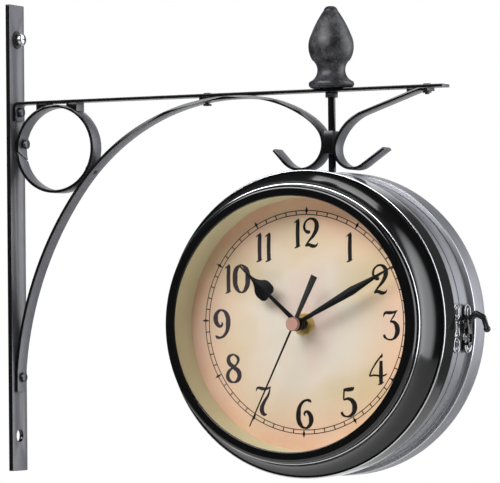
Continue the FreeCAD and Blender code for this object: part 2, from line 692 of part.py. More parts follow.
def make_movement(side):
    half = "movement_side / 2"
    opening = f"{movement_back} - 0.1"
    side_length, low = "movement_side", f"-{half}"
    block = box(side_length, side_length, "movement_depth", low, low, str(movement_back))
    bush = cylinder("bush_diameter / 2", "bush_height + 0.5", z=f"{movement_front} - 0.5")
    gear_room = box(
        "gear_room_width", "gear_room_height", "gear_room_depth + 0.1",
        "-gear_room_width / 2", "gear_room_low", opening,
    )
    cell_room = box(
        "cell_room_width", "cell_room_height", "cell_room_depth + 0.1",
        "-cell_room_width / 2", "cell_room_low", opening,
    )
    bore = cylinder("hour_pipe_diameter / 2 + pipe_gap", "20", z=f"{movement_back} + 5")
    keep(seat(cut(join(block, bush), gear_room, cell_room, bore), side), side + "_movement_case")
    lid = box(
        "cover_width", "cover_height", "cover_thickness",
        "-cover_width / 2", "cover_low", f"{movement_back} - cover_thickness - 0.02",
    )
    stem_hole = cylinder("cover_hole", "4", "knob_offset", "0", f"{movement_back} - 2")
    keep(seat(cut(lid, stem_hole), side), side + "_movement_cover")


def make_cell_and_coil(side):
    lift = f"{movement_back} + cell_lift"
    cell = cylinder("cell_radius", "cell_length", "-cell_length / 2 - 0.25", "cell_height", lift, "X")
    nub_start = "cell_length / 2 - 0.35"
    nub = cylinder("nub_radius", "nub_length", nub_start, "cell_height", lift, "X")
    keep(seat(join(cell, nub), side), side + "_battery")
    lift = f"{movement_back} + coil_lift"
    winding = cylinder("coil_radius", "coil_length", "coil_left", "coil_height", lift, "X")
    flanges = [
        cylinder("coil_flange_radius", "coil_flange", start, "coil_height", lift, "X")
        for start in ("coil_left - coil_flange", "coil_left + coil_length")
    ]
    keep(seat(join(winding, *flanges), side), side + "_motor_coil")


def make_circuit_board(side):
    lift = f"{movement_back} + board_lift"
    board = box("board_width", "board_height", "board_thickness", "board_left", "board_low", lift)
    hole_x, hole_y = "board_left + board_width - 3", "board_low + board_height - 2.5"
    fixing = cylinder("board_hole_radius", "3", hole_x, hole_y, f"{lift} - 1")
    keep(seat(cut(board, fixing), side), side + "_circuit_board")


def make_setting_knob(side):
    discs = [
        ("knob_radius", "knob_width", "- knob_rise"), ("knob_stem", "10", "- 2"),
        ("knob_wheel_radius", "knob_wheel_width", "+ knob_wheel_lift"),
    ]
    knob = join(*[
        cylinder(radius, width, "knob_offset", "0", f"{movement_back} {lift}") for radius, width, lift in discs
    ])
    keep(seat(knob, side), side + "_setting_knob")


def make_dial_nut(side):
    low = f"{dial_face} + 0.05"
    nut = hexagon("dial_nut_diameter - 1", "dial_nut_height", z=low)
    rim = cylinder("dial_nut_diameter / 2", "dial_nut_rim", z=low)
    bore = cylinder("bush_diameter / 2 + thread_gap", "6", z=f"{dial_face} - 1")
    keep(seat(cut(join(nut, rim), bore), side), side + "_dial_nut")


def hand_blade(label, right_side, height, angle):
    # flat blade from the points of its right side, turned to where it points
    ends = [step[-1] if isinstance(step[0], tuple) else step for step in right_side]
    left_side = []
    for step, before in zip(right_side[:0:-1], ends[-2::-1]):
        back_to = (-before[0], before[1])
        left_side.append(((-step[0][0], step[0][1]), back_to) if isinstance(step[0], tuple) else back_to)
    tip = ends[-1]
    edges = outline(right_side[0], *right_side[1:], (-tip[0], tip[1]), *left_side)
    body = new_body(label)
    pad(body, new_sketch(body, "XY_Plane", edges), "hand_thickness")
    body.Placement.Rotation = Rotation(Vector(0, 0, 1), -angle)
    bind(body, "Placement.Base.z", f"{dial_face} + {height} - hand_thickness")
    return body


# each hand's pipe and its bore, the lift, width and radius of its wheel, and the radius of its hub
pipes = {
    "hour": ("hour_pipe_diameter", "minute_pipe_diameter / 2 + pipe_gap", 10.6, 1.0, 7.6, 4.2),
    "minute": ("minute_pipe_diameter", "second_pin_diameter / 2 + pipe_gap", 7.4, 0.8, 7.8, 4.6),
    "second": ("second_pin_diameter", None, 4.6, 0.8, 6.6, 3.6),
}


def make_hand(side, name, blades):
    pipe, bore, wheel_lift, wheel_width, wheel_radius, hub_radius = pipes[name]
    low = movement_back + wheel_lift
    top = f"{dial_face} + {name}_height"
    parts = blades + [
        cylinder(f"{pipe} / 2", f"{top} - {low}", z=str(low)),
        cylinder(str(wheel_radius), str(wheel_width), z=str(low)),
        cylinder(str(hub_radius), "hub_thickness", z=f"{top} - hub_thickness"),
    ]
    if name == "second":
        parts.append(cylinder("cap_diameter / 2", "cap_height", z=top))
    solid = join(*parts)
    if bore:
        solid = cut(solid, cylinder(bore, "60"))
    keep(seat(solid, side), f"{side}_{name}_hand")


def make_hands(side):
    make_hand(side, "hour", [hand_blade(side + "_hour", hour_side, "hour_height", pose["hour"])])
    make_hand(side, "minute", [hand_blade(side + "_minute", minute_side, "minute_height", pose["minute"])])
    make_hand(side, "second", [
        hand_blade(side + "_second", second_side, "second_height", pose["second"]),
        hand_blade(side + "_tail", tail_side, "second_height", pose["second"] + 180),
    ])


# ---- hinge on the left and latch on the right, seen from the front ----

seam_y = "-seam_offset"
fit_z = "clock_height - latch_drop"
right_face = "rod_x + leaf_face"
right_outside = "rod_x + leaf_face + leaf_thickness"
left_outside = "rod_x - leaf_face - leaf_thickness"
bolt_hole = "pivot_radius + screw_gap"


def side_plate(face, direction, near):
    # upright plate with lobes on the side of the case, from near to far; direction 1 is the rear half
    low = near if direction > 0 else "-leaf_far"
    core = box(
        "leaf_thickness", f"leaf_far - {near}", "2 * leaf_half_height",
        face, f"{seam_y} + {low}", f"{fit_z} - leaf_half_height",
    )
    lobes = [
        cylinder(str(radius), "leaf_thickness", face, f"{seam_y} + {direction * out}", f"{fit_z} + {up * z}", "X")
        for out, z, radius in plate_lobes for up in (-1, 1)
    ]
    return join(core, *lobes)


def screw_line(radius, length, start, direction, up):
    # cylinder along X through one of the four screw places of a plate
    y = f"{seam_y} + ({direction}) * case_screw_depth"
    return cylinder(radius, length, start, y, f"{fit_z} + ({up}) * case_screw_rise", "X")


def screw_holes(start, direction):
    return [screw_line("case_screw_diameter / 2 + screw_gap", "20", start, direction, up) for up in (-1, 1)]


def make_leaf(label, direction, spans):
    # one leaf with its share of the five knuckles
    step, axis_x = dim("latch_height") / 5, "rod_x - pin_out"
    parts = [side_plate(left_outside, direction, "hinge_leaf_near")]
    for span in spans:
        z = f"{fit_z} - latch_height / 2 + {span * step} + knuckle_gap"
        tall = f"{step} - 2 * knuckle_gap"
        parts.append(cylinder("knuckle_diameter / 2", tall, axis_x, seam_y, z))
        start = f"{seam_y} - {0 if direction > 0 else 4}"
        parts.append(box("leaf_thickness", "4", tall, left_outside, start, z))
    hole = cylinder("hinge_pin_diameter / 2 + running_gap", "60", axis_x, seam_y, f"{fit_z} - 30")
    keep(cut(join(*parts), hole, *screw_holes("rod_x - 110", direction)), label)


def make_hinge():
    make_leaf("hinge_rear_leaf", 1, (0, 2, 4))
    make_leaf("hinge_front_leaf", -1, (1, 3))
    length, end = "latch_height + 2 * pin_end", "(latch_height / 2 + 0.1)"
    axis_x = "rod_x - pin_out"
    pin = cylinder("hinge_pin_diameter / 2", length, axis_x, seam_y, f"{fit_z} - ({length}) / 2")
    caps = [
        cylinder("knuckle_diameter / 2", "pin_cap_height", axis_x, seam_y, z)
        for z in (f"{fit_z} + {end}", f"{fit_z} - {end} - pin_cap_height")
    ]
    keep(join(pin, *caps), "hinge_pin")


pivot_y = f"{seam_y} + hook_pivot_depth"
pivot_z = f"{fit_z} + hook_pivot_rise"


def make_latch():
    # post on the front plate, placed where the hook's notch arrives after its swing
    swing = math.radians(dim("hook_swing"))
    post_y = f"{pivot_y} - hook_reach * {math.sin(swing):.5f}"
    post_z = f"{pivot_z} - hook_reach * {math.cos(swing):.5f}"
    stem = cylinder("post_diameter / 2", "post_length + 2", f"{right_outside} - 1", post_y, post_z, "X")
    head_x = f"{right_outside} + post_length"
    head = cylinder("post_head_radius", "post_head_height", head_x, post_y, post_z, "X")
    front = join(side_plate(right_face, -1, "latch_leaf_near"), stem, head)
    keep(cut(front, *screw_holes("rod_x + 90", -1)), "latch_front_plate")
    boss = cylinder("boss_radius", "boss_height", right_outside, pivot_y, pivot_z, "X")
    rear = join(side_plate(right_face, 1, "latch_leaf_near"), boss)
    pivot_bore = cylinder(bolt_hole, "20", "rod_x + 90", pivot_y, pivot_z, "X")
    keep(cut(rear, *screw_holes("rod_x + 90", 1), pivot_bore), "latch_rear_plate")
    pivot = cylinder("pivot_radius", "pivot_length", "rod_x + pivot_start", pivot_y, pivot_z, "X")
    keep(pivot, "latch_pivot")


def make_hook():
    # the hook hangs open beside the seam: a slot near its end takes the post, a finger piece is on its hub
    face = f"{right_outside} + hook_lift"
    tall = "(hook_reach + hook_end)"
    front, bottom = f"{pivot_y} - hook_front", f"{pivot_z} - {tall}"
    arm = box("hook_thickness", "hook_width", tall, face, front, bottom)
    hub = cylinder("hook_hub_radius", "hook_thickness", face, pivot_y, pivot_z, "X")
    slot = box(
        "4", "hook_slot + 6", "2 * hook_slot + hook_slot_play",
        f"{face} - 1", f"{pivot_y} - 6", f"{pivot_z} - hook_reach - hook_slot",
    )
    bore = cylinder(bolt_hole, "3.4", f"{face} - 0.2", pivot_y, pivot_z, "X")
    keep(cut(join(hub, arm, *finger_piece()), slot, bore), "latch_hook")


def finger_piece():
    # bent round bar from ball to ball along the finger line
    base = dim("rod_x") + dim("leaf_face") + dim("leaf_thickness") + dim("post_length")
    height = dim("clock_height") - dim("latch_drop") + dim("hook_pivot_rise")
    spots = [(Vector(base + x, 0, height + z), radius) for x, z, radius in finger_line]
    solids = [ball(str(radius), str(spot.x), pivot_y, str(spot.z)) for spot, radius in spots]
    for (here, radius), (there, _) in zip(spots, spots[1:]):
        length = str(here.distanceToPoint(there))
        bar = cylinder(str(0.97 * radius), length, str(here.x), pivot_y, str(here.z))
        bar.Placement.Rotation = Rotation(Vector(0, 0, 1), there - here)
        solids.append(bar)
    tip = spots[-1][0]
    solids.append(ball(str(finger_ball), str(tip.x), pivot_y, str(tip.z)))
    return solids


def make_case_screws():
    for label, direction in (("rear_case_screws", 1), ("front_case_screws", -1)):
        screws = []
        for head_start, shank_start in (
            (right_outside, f"{right_outside} - case_screw_length + 0.1"),
            (f"{left_outside} - case_screw_head", f"{left_outside} - 0.1"),
        ):
            for up in (-1, 1):
                place = (direction, up)
                head = screw_line("case_screw_head_radius", "case_screw_head", head_start, *place)
                shank = screw_line("case_screw_diameter / 2", "case_screw_length", shank_start, *place)
                screws.append(join(head, shank))
        keep(group(*screws), label)


# ---- the whole clock ----

make_wall_plate()
make_top_arm()
make_curved_brace()
make_right_scroll()
make_bracket_ring()
make_wedges()
make_bracket_fasteners()
make_rod_guide()
make_rod()
make_finial()
for side in SIDES:
    make_shell(side)
    make_bezel(side)
    make_glazing(side)
    make_dial(side)
    make_movement(side)
    make_cell_and_coil(side)
    make_circuit_board(side)
    make_setting_knob(side)
    make_dial_nut(side)
    make_hands(side)
make_seam_lip()
make_hinge()
make_latch()
make_hook()
make_case_screws()

doc.recompute()
for item in doc.Objects:
    if "Invalid" in item.State or "Error" in item.State:
        raise SystemExit(f"{item.Label} failed: {item.State}")
for item in nodes:
    shape = item.Shape
    if shape.isNull() or not shape.isValid():
        raise SystemExit(f"{item.Label} has no valid shape")
    shape.exportStep(f"parts/{item.Label}.step")
    extent = shape.BoundBox
    print(item.Label, len(shape.Solids), round(shape.Volume, 1), extent)
print(len(nodes), "nodes")
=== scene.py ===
import math
import bpy
from mathutils import Euler, Matrix, Vector


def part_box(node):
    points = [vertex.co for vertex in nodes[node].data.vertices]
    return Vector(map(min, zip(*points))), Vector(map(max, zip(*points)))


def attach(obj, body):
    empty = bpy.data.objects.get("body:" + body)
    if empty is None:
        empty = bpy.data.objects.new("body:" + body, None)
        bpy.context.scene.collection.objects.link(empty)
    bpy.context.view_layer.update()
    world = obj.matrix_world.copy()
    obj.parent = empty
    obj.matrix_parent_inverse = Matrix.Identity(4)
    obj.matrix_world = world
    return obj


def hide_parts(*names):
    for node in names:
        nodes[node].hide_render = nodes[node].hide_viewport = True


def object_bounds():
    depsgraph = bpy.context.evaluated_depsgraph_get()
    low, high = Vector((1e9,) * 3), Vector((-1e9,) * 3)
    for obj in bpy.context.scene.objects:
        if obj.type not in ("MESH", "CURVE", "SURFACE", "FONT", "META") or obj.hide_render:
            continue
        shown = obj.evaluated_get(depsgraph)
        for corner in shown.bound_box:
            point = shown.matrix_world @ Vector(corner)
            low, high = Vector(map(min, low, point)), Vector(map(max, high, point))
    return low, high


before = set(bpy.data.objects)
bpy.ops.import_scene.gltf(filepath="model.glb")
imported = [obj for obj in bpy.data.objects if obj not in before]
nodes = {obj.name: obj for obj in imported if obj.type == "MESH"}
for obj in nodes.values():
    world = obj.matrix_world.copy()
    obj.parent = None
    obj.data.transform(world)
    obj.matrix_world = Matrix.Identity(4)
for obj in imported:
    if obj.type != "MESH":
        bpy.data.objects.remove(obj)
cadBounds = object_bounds()
scene = bpy.context.scene
sides = ("front", "rear")
hubs = {"front": "front_half", "rear": "clock"}      # body that carries each side's case
print("frame loaded:", len(nodes), "nodes")


# measures that the whole clock shares, read from the frame

def mm(*values):
    scaled = [value / 1000 for value in values]
    return scaled[0] if len(scaled) == 1 else Vector(scaled)


def middleOf(node):
    low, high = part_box(node)
    return (low + high) / 2


caseCentre = middleOf("seam_lip")
caseCentre.y = (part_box("front_bezel")[0].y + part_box("rear_bezel")[1].y) / 2
rodX = middleOf("hanger_rod").x


def onSide(side, x, depth, z):
    # a place given in millimetres from the seam's centre: x to the reader's right, depth out towards the reader
    way = 1 if side == "front" else -1
    return caseCentre + mm(x * way, -depth * way, z)


# small tools

def deselectAll():
    if bpy.context.object and bpy.context.object.mode != "OBJECT":
        bpy.ops.object.mode_set(mode="OBJECT")
    bpy.ops.object.select_all(action="DESELECT")


def pick(piece):
    deselectAll()
    piece.select_set(True)
    bpy.context.view_layer.objects.active = piece


def editAll(piece):
    pick(piece)
    bpy.ops.object.mode_set(mode="EDIT")
    bpy.ops.mesh.select_all(action="SELECT")


def applyModifiers(piece):
    pick(piece)
    for modifier in list(piece.modifiers):
        bpy.ops.object.modifier_apply(modifier=modifier.name)


def smooth(piece, angle=35):
    pick(piece)
    bpy.ops.object.shade_smooth_by_angle(angle=math.radians(angle))


def bakePlace(piece):
    # puts the place into the mesh, so that the object sits unturned at the origin
    pick(piece)
    bpy.ops.object.transform_apply(location=True, rotation=True, scale=True)


def bevel(piece, width, segments=2, angle=30):
    modifier = piece.modifiers.new("edge", "BEVEL")
    modifier.width = mm(width)
    modifier.segments = segments
    modifier.limit_method = "ANGLE"
    modifier.angle_limit = math.radians(angle)
    applyModifiers(piece)


def finishPiece(piece, body, material, replaced=()):
    bakePlace(piece)
    piece.data.materials.clear()
    piece.data.materials.append(material)
    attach(piece, body)
    if replaced:
        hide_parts(*replaced)
    return piece


def copyOfNode(node, edge, segments=2, angle=30):
    # the node's own shape with its edges rounded, ready to take its place
    mesh = nodes[node].data.copy()
    piece = bpy.data.objects.new(node + "_finished", mesh)
    scene.collection.objects.link(piece)
    editAll(piece)
    bpy.ops.mesh.remove_doubles(threshold=mm(0.002))
    bpy.ops.mesh.dissolve_limited(angle_limit=math.radians(0.5))
    bpy.ops.object.mode_set(mode="OBJECT")
    bevel(piece, edge, segments, angle)
    smooth(piece)
    return piece


def traceLine(name, points):
    # one vertex, extruded from point to point
    deselectAll()
    bpy.ops.mesh.primitive_plane_add(size=mm(1), location=points[0])
    piece = bpy.context.object
    piece.name = name
    editAll(piece)
    bpy.ops.mesh.merge(type="CENTER")
    for here, there in zip(points, points[1:]):
        bpy.ops.mesh.extrude_vertices_move(TRANSFORM_OT_translate={"value": there - here})
    return piece


def spinLine(name, points, centre, axis, steps=256, closed=True):
    # a traced section turned once round the axis, with its seam and poles merged
    line = list(points) + ([points[0]] if closed else [])
    piece = traceLine(name, line)
    bpy.ops.mesh.select_all(action="SELECT")
    bpy.ops.mesh.spin(steps=steps, angle=math.tau, center=centre, axis=axis)
    bpy.ops.mesh.select_all(action="SELECT")
    bpy.ops.mesh.remove_doubles(threshold=mm(0.002))
    bpy.ops.mesh.normals_make_consistent(inside=False)
    bpy.ops.object.mode_set(mode="OBJECT")
    return piece


def arc(x, y, radius, first, last, count):
    angles = [math.radians(first + (last - first) * n / count) for n in range(count + 1)]
    return [(x + radius * math.cos(a), y + radius * math.sin(a)) for a in angles]


# materials

def linear(hexColour):
    # sRGB hex to the linear colour that shaders take
    channels = [int(hexColour[n:n + 2], 16) / 255 for n in (1, 3, 5)]
    return [c / 12.92 if c <= 0.04045 else ((c + 0.055) / 1.055) ** 2.4 for c in channels] + [1]


def addNode(tree, kind, settings=None, links=None):
    # adds one node, sets its properties, and sets or links its inputs, which are named or numbered
    node = tree.nodes.new(kind)
    for name, value in (settings or {}).items():
        if isinstance(name, int) or name in node.inputs:
            node.inputs[name].default_value = value
        else:
            setattr(node, name, value)
    for name, socket in (links or {}).items():
        tree.links.new(socket, node.inputs[name])
    return node


def newMaterial(name, **sockets):
    material = bpy.data.materials.new(name)
    material.use_nodes = True
    shader = material.node_tree.nodes["Principled BSDF"]
    for socket, value in sockets.items():
        shader.inputs[socket.replace("_", " ")].default_value = value
    return material, material.node_tree, shader


def objectPlace(tree, grainMm, stretch=1):
    # Object coordinates in units of the given number of millimetres, drawn out along X and Z
    coords = addNode(tree, "ShaderNodeTexCoord")
    scale = 1000 / grainMm
    mapping = addNode(tree, "ShaderNodeMapping", {"Scale": (scale / stretch, scale, scale / stretch)},
                      {"Vector": coords.outputs["Object"]})
    return mapping.outputs["Vector"]


def dress(tree, shader, colour, rough=None, relief=None, depth=0.1, depthMm=0.3):
    # joins the patterns that were made to the shader: colour, roughness and relief
    tree.links.new(colour, shader.inputs["Base Color"])
    if rough is not None:
        tree.links.new(rough, shader.inputs["Roughness"])
    if relief is not None:
        bump = addNode(tree, "ShaderNodeBump", {"Strength": depth, "Distance": mm(depthMm)}, {"Height": relief})
        tree.links.new(bump.outputs["Normal"], shader.inputs["Normal"])


enamel = {"black": "#020202", "dust": "#070708", "waveMm": 9, "waveDepth": 0.015, "roughness": (0.10, 0.17)}


def caseEnamel():
    # stoved gloss enamel on spun sheet: deep black, sharp reflections with a faint orange-peel waver
    material, tree, shader = newMaterial("gloss stove enamel on spun steel",
                                         Coat_Weight=0.2, Coat_Roughness=0.06)
    peel = addNode(tree, "ShaderNodeTexNoise", {"Scale": 1, "Detail": 3},
                   {"Vector": objectPlace(tree, enamel["waveMm"])})
    tone = addNode(tree, "ShaderNodeMix", {
        "data_type": "RGBA", 6: linear(enamel["black"]), 7: linear(enamel["dust"]),
    }, {0: peel.outputs["Fac"]})
    low, high = enamel["roughness"]
    rough = addNode(tree, "ShaderNodeMapRange", {"To Min": low, "To Max": high}, {"Value": peel.outputs["Fac"]})
    dress(tree, shader, tone.outputs[2], rough.outputs["Result"], peel.outputs["Fac"], enamel["waveDepth"], 1)
    return material


# the grey of these two tones is painted light: the bracket's black paint made grey on its broad faces, as if lit
stovePaint = {
    "dark": "#515156", "light": "#69696F", "cloudMm": 16, "grainMm": 1.4, "grainDepth": 0.12,
    "roughness": (0.32, 0.46),
}


def bracketPaint():
    # semi-gloss powder paint on strip steel: the black paint is given charcoal grey faces, painted light that
    # stands for the lit broad faces, with a broad soft sheen and a fine grain
    material, tree, shader = newMaterial("semi-gloss powder paint on strip steel")
    grain = addNode(tree, "ShaderNodeTexNoise", {"Scale": 1, "Detail": 4},
                    {"Vector": objectPlace(tree, stovePaint["grainMm"])})
    cloud = addNode(tree, "ShaderNodeTexNoise", {"Scale": 1, "Detail": 2},
                    {"Vector": objectPlace(tree, stovePaint["cloudMm"])})
    tone = addNode(tree, "ShaderNodeMix", {
        "data_type": "RGBA", 6: linear(stovePaint["dark"]), 7: linear(stovePaint["light"]),
    }, {0: cloud.outputs["Fac"]})
    low, high = stovePaint["roughness"]
    rough = addNode(tree, "ShaderNodeMapRange", {"To Min": low, "To Max": high}, {"Value": grain.outputs["Fac"]})
    dress(tree, shader, tone.outputs[2], rough.outputs["Result"], grain.outputs["Fac"],
          stovePaint["grainDepth"], 0.2)
    return material


def simpleMaterial(name, colours, roughness, grainMm, depth=0.1, metallic=0.0):
    # two tones that drift into each other, with a grain of a real size in the roughness and the relief
    material, tree, shader = newMaterial(name, Metallic=metallic)
    grain = addNode(tree, "ShaderNodeTexNoise", {"Scale": 1, "Detail": 3},
                    {"Vector": objectPlace(tree, grainMm)})
    first, second = (linear(colour) for colour in colours)
    tone = addNode(tree, "ShaderNodeMix", {"data_type": "RGBA", 6: first, 7: second}, {0: grain.outputs["Fac"]})
    low, high = roughness
    rough = addNode(tree, "ShaderNodeMapRange", {"To Min": low, "To Max": high}, {"Value": grain.outputs["Fac"]})
    dress(tree, shader, tone.outputs[2], rough.outputs["Result"], grain.outputs["Fac"], depth)
    return material


def clearGlass():
    # thin flat window glass: nearly clear, with sharp faint reflections
    # the little colour it has is dark, so it leaves the print behind it at full strength
    return newMaterial("flat window glass", Base_Color=linear("#101514"), Roughness=0.02, IOR=1.5, Alpha=0.05)[0]


parchment = {
    # colours from the middle of the dial to its rim, each with its place in shares of the radius
    "tones": ((0.0, "#E6DED2"), (0.42, "#E7DAC8"), (0.68, "#E9CFB2"), (0.86, "#F0C8AC"), (1.0, "#E6B696")),
    "radiusMm": 84.8, "stainMm": 30, "stainReach": 0.45,
    # stains, each with the two levels of the noise between which it sets in
    "patches": (("#D3C193", 0.52, 0.72), ("#E6C4B8", 0.48, 0.30)), "patchMm": 44, "patchStrength": 0.55,
}


def dialPrint():
    # offset print on sheet metal: parchment that darkens to orange at the rim, with olive and rose stains
    material, tree, shader = newMaterial("parchment print on sheet metal", Roughness=0.55)
    coords = addNode(tree, "ShaderNodeTexCoord")
    scale = 1000 / parchment["radiusMm"]
    centring = addNode(tree, "ShaderNodeMapping", {
        "Scale": (scale, scale, scale),
        "Location": (-caseCentre.x * scale, 0, -caseCentre.z * scale),
    }, {"Vector": coords.outputs["Object"]})
    flat = addNode(tree, "ShaderNodeVectorMath", {"operation": "MULTIPLY", 1: (1, 0, 1)},
                   {0: centring.outputs["Vector"]})
    reach = addNode(tree, "ShaderNodeVectorMath", {"operation": "LENGTH"}, {0: flat.outputs["Vector"]})
    stain = addNode(tree, "ShaderNodeTexNoise", {"Scale": 1, "Detail": 4},
                    {"Vector": objectPlace(tree, parchment["stainMm"])})
    centred = addNode(tree, "ShaderNodeMath", {"operation": "SUBTRACT", 1: 0.5}, {0: stain.outputs["Fac"]})
    drift = addNode(tree, "ShaderNodeMath", {"operation": "MULTIPLY_ADD", 1: parchment["stainReach"]},
                    {0: centred.outputs["Value"], 2: reach.outputs["Value"]})
    ramp = addNode(tree, "ShaderNodeValToRGB", None, {"Fac": drift.outputs["Value"]})
    bar = ramp.color_ramp
    for place, tone in parchment["tones"][1:-1]:
        bar.elements.new(place).color = linear(tone)
    bar.elements[0].color = linear(parchment["tones"][0][1])
    bar.elements[-1].color = linear(parchment["tones"][-1][1])
    patches = addNode(tree, "ShaderNodeTexNoise", {"Scale": 1, "Detail": 2},
                      {"Vector": objectPlace(tree, parchment["patchMm"])})
    colour = ramp.outputs["Color"]
    for tone, start, end in parchment["patches"]:
        share = addNode(tree, "ShaderNodeMapRange", {
            "From Min": start, "From Max": end, "To Max": parchment["patchStrength"],
        }, {"Value": patches.outputs["Fac"]})
        mix = addNode(tree, "ShaderNodeMix", {"data_type": "RGBA", 7: linear(tone)},
                      {0: share.outputs["Result"], 6: colour})
        colour = mix.outputs[2]
    dress(tree, shader, colour)
    return material


# the ink goes from grey to near-black between these two places along the arm, in metres
ink = {"left": "#4B4149", "right": "#120E0D", "from": 0.165, "to": 0.235}


def dialInk():
    # offset printing ink: near-black, greyer towards the left of the dial
    material, tree, shader = newMaterial("offset printing ink", Roughness=0.6, Specular_IOR_Level=0.2)
    coords = addNode(tree, "ShaderNodeTexCoord")
    parts = addNode(tree, "ShaderNodeSeparateXYZ", None, {"Vector": coords.outputs["Object"]})
    share = addNode(tree, "ShaderNodeMapRange", {"From Min": ink["from"], "From Max": ink["to"]},
                    {"Value": parts.outputs["X"]})
    tone = addNode(tree, "ShaderNodeMix", {
        "data_type": "RGBA", 6: linear(ink["left"]), 7: linear(ink["right"]),
    }, {0: share.outputs["Result"]})
    dress(tree, shader, tone.outputs[2])
    return material


casting = {
    "dark": "#0B0B0D", "light": "#4A4A50", "mottle": (0.14, 0.40), "pitMm": 1.5, "cloudMm": 7, "depth": 0.7,
    "roughness": (0.34, 0.52), "tip": "#030303", "tipShare": 0.93, "tipFadeMm": 1.5,
}


def castPaint():
    # matte paint on sand-cast zinc: mottled charcoal with a pitted skin and a blacker tip
    material, tree, shader = newMaterial("matte paint on sand-cast zinc")
    pits = addNode(tree, "ShaderNodeTexNoise", {"Scale": 1, "Detail": 4},
                   {"Vector": objectPlace(tree, casting["pitMm"])})
    clouds = addNode(tree, "ShaderNodeTexNoise", {"Scale": 1, "Detail": 3},
                     {"Vector": objectPlace(tree, casting["cloudMm"])})
    both = addNode(tree, "ShaderNodeMath", {"operation": "MULTIPLY"},
                   {0: pits.outputs["Fac"], 1: clouds.outputs["Fac"]})
    low, high = casting["mottle"]
    share = addNode(tree, "ShaderNodeMapRange", {"From Min": low, "From Max": high},
                    {"Value": both.outputs["Value"]})
    tone = addNode(tree, "ShaderNodeMix", {
        "data_type": "RGBA", 6: linear(casting["dark"]), 7: linear(casting["light"]),
    }, {0: share.outputs["Result"]})
    foot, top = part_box("finial")
    start = foot.z + (top.z - foot.z) * casting["tipShare"]
    coords = addNode(tree, "ShaderNodeTexCoord")
    height = addNode(tree, "ShaderNodeSeparateXYZ", None, {"Vector": coords.outputs["Object"]})
    cap = addNode(tree, "ShaderNodeMapRange", {"From Min": start, "From Max": start + mm(casting["tipFadeMm"])},
                  {"Value": height.outputs["Z"]})
    capped = addNode(tree, "ShaderNodeMix", {"data_type": "RGBA", 7: linear(casting["tip"])},
                     {0: cap.outputs["Result"], 6: tone.outputs[2]})
    low, high = casting["roughness"]
    rough = addNode(tree, "ShaderNodeMapRange", {"To Min": low, "To Max": high}, {"Value": pits.outputs["Fac"]})
    dress(tree, shader, capped.outputs[2], rough.outputs["Result"], both.outputs["Value"], casting["depth"])
    return material


# painted reflection: the band's pale grey metal stands for light reflected off the case's black enamel
bandReflectionTones = {"dark": "#8C8D92", "light": "#A8A9AE", "streakMm": 2.4, "stretch": 12, "roughness": (0.40, 0.52)}


def satinBand():
    # bright metal for the case band: a painted reflection, grey with a soft silver sheen and fine streaks along
    # the band
    material, tree, shader = newMaterial("brushed steel sheet", Metallic=1.0)
    streaks = addNode(tree, "ShaderNodeTexNoise", {"Scale": 1, "Detail": 3},
                      {"Vector": objectPlace(tree, bandReflectionTones["streakMm"], bandReflectionTones["stretch"])})
    tone = addNode(tree, "ShaderNodeMix", {
        "data_type": "RGBA", 6: linear(bandReflectionTones["dark"]), 7: linear(bandReflectionTones["light"]),
    }, {0: streaks.outputs["Fac"]})
    low, high = bandReflectionTones["roughness"]
    rough = addNode(tree, "ShaderNodeMapRange", {"To Min": low, "To Max": high},
                    {"Value": streaks.outputs["Fac"]})
    dress(tree, shader, tone.outputs[2], rough.outputs["Result"])
    return material


materials = {
    "caseEnamel": caseEnamel(),
    "bracketPaint": bracketPaint(),
    "finialPaint": castPaint(),
    "satinBand": satinBand(),
    "glass": clearGlass(),
    "dialPrint": dialPrint(),
    "dialInk": dialInk(),
}
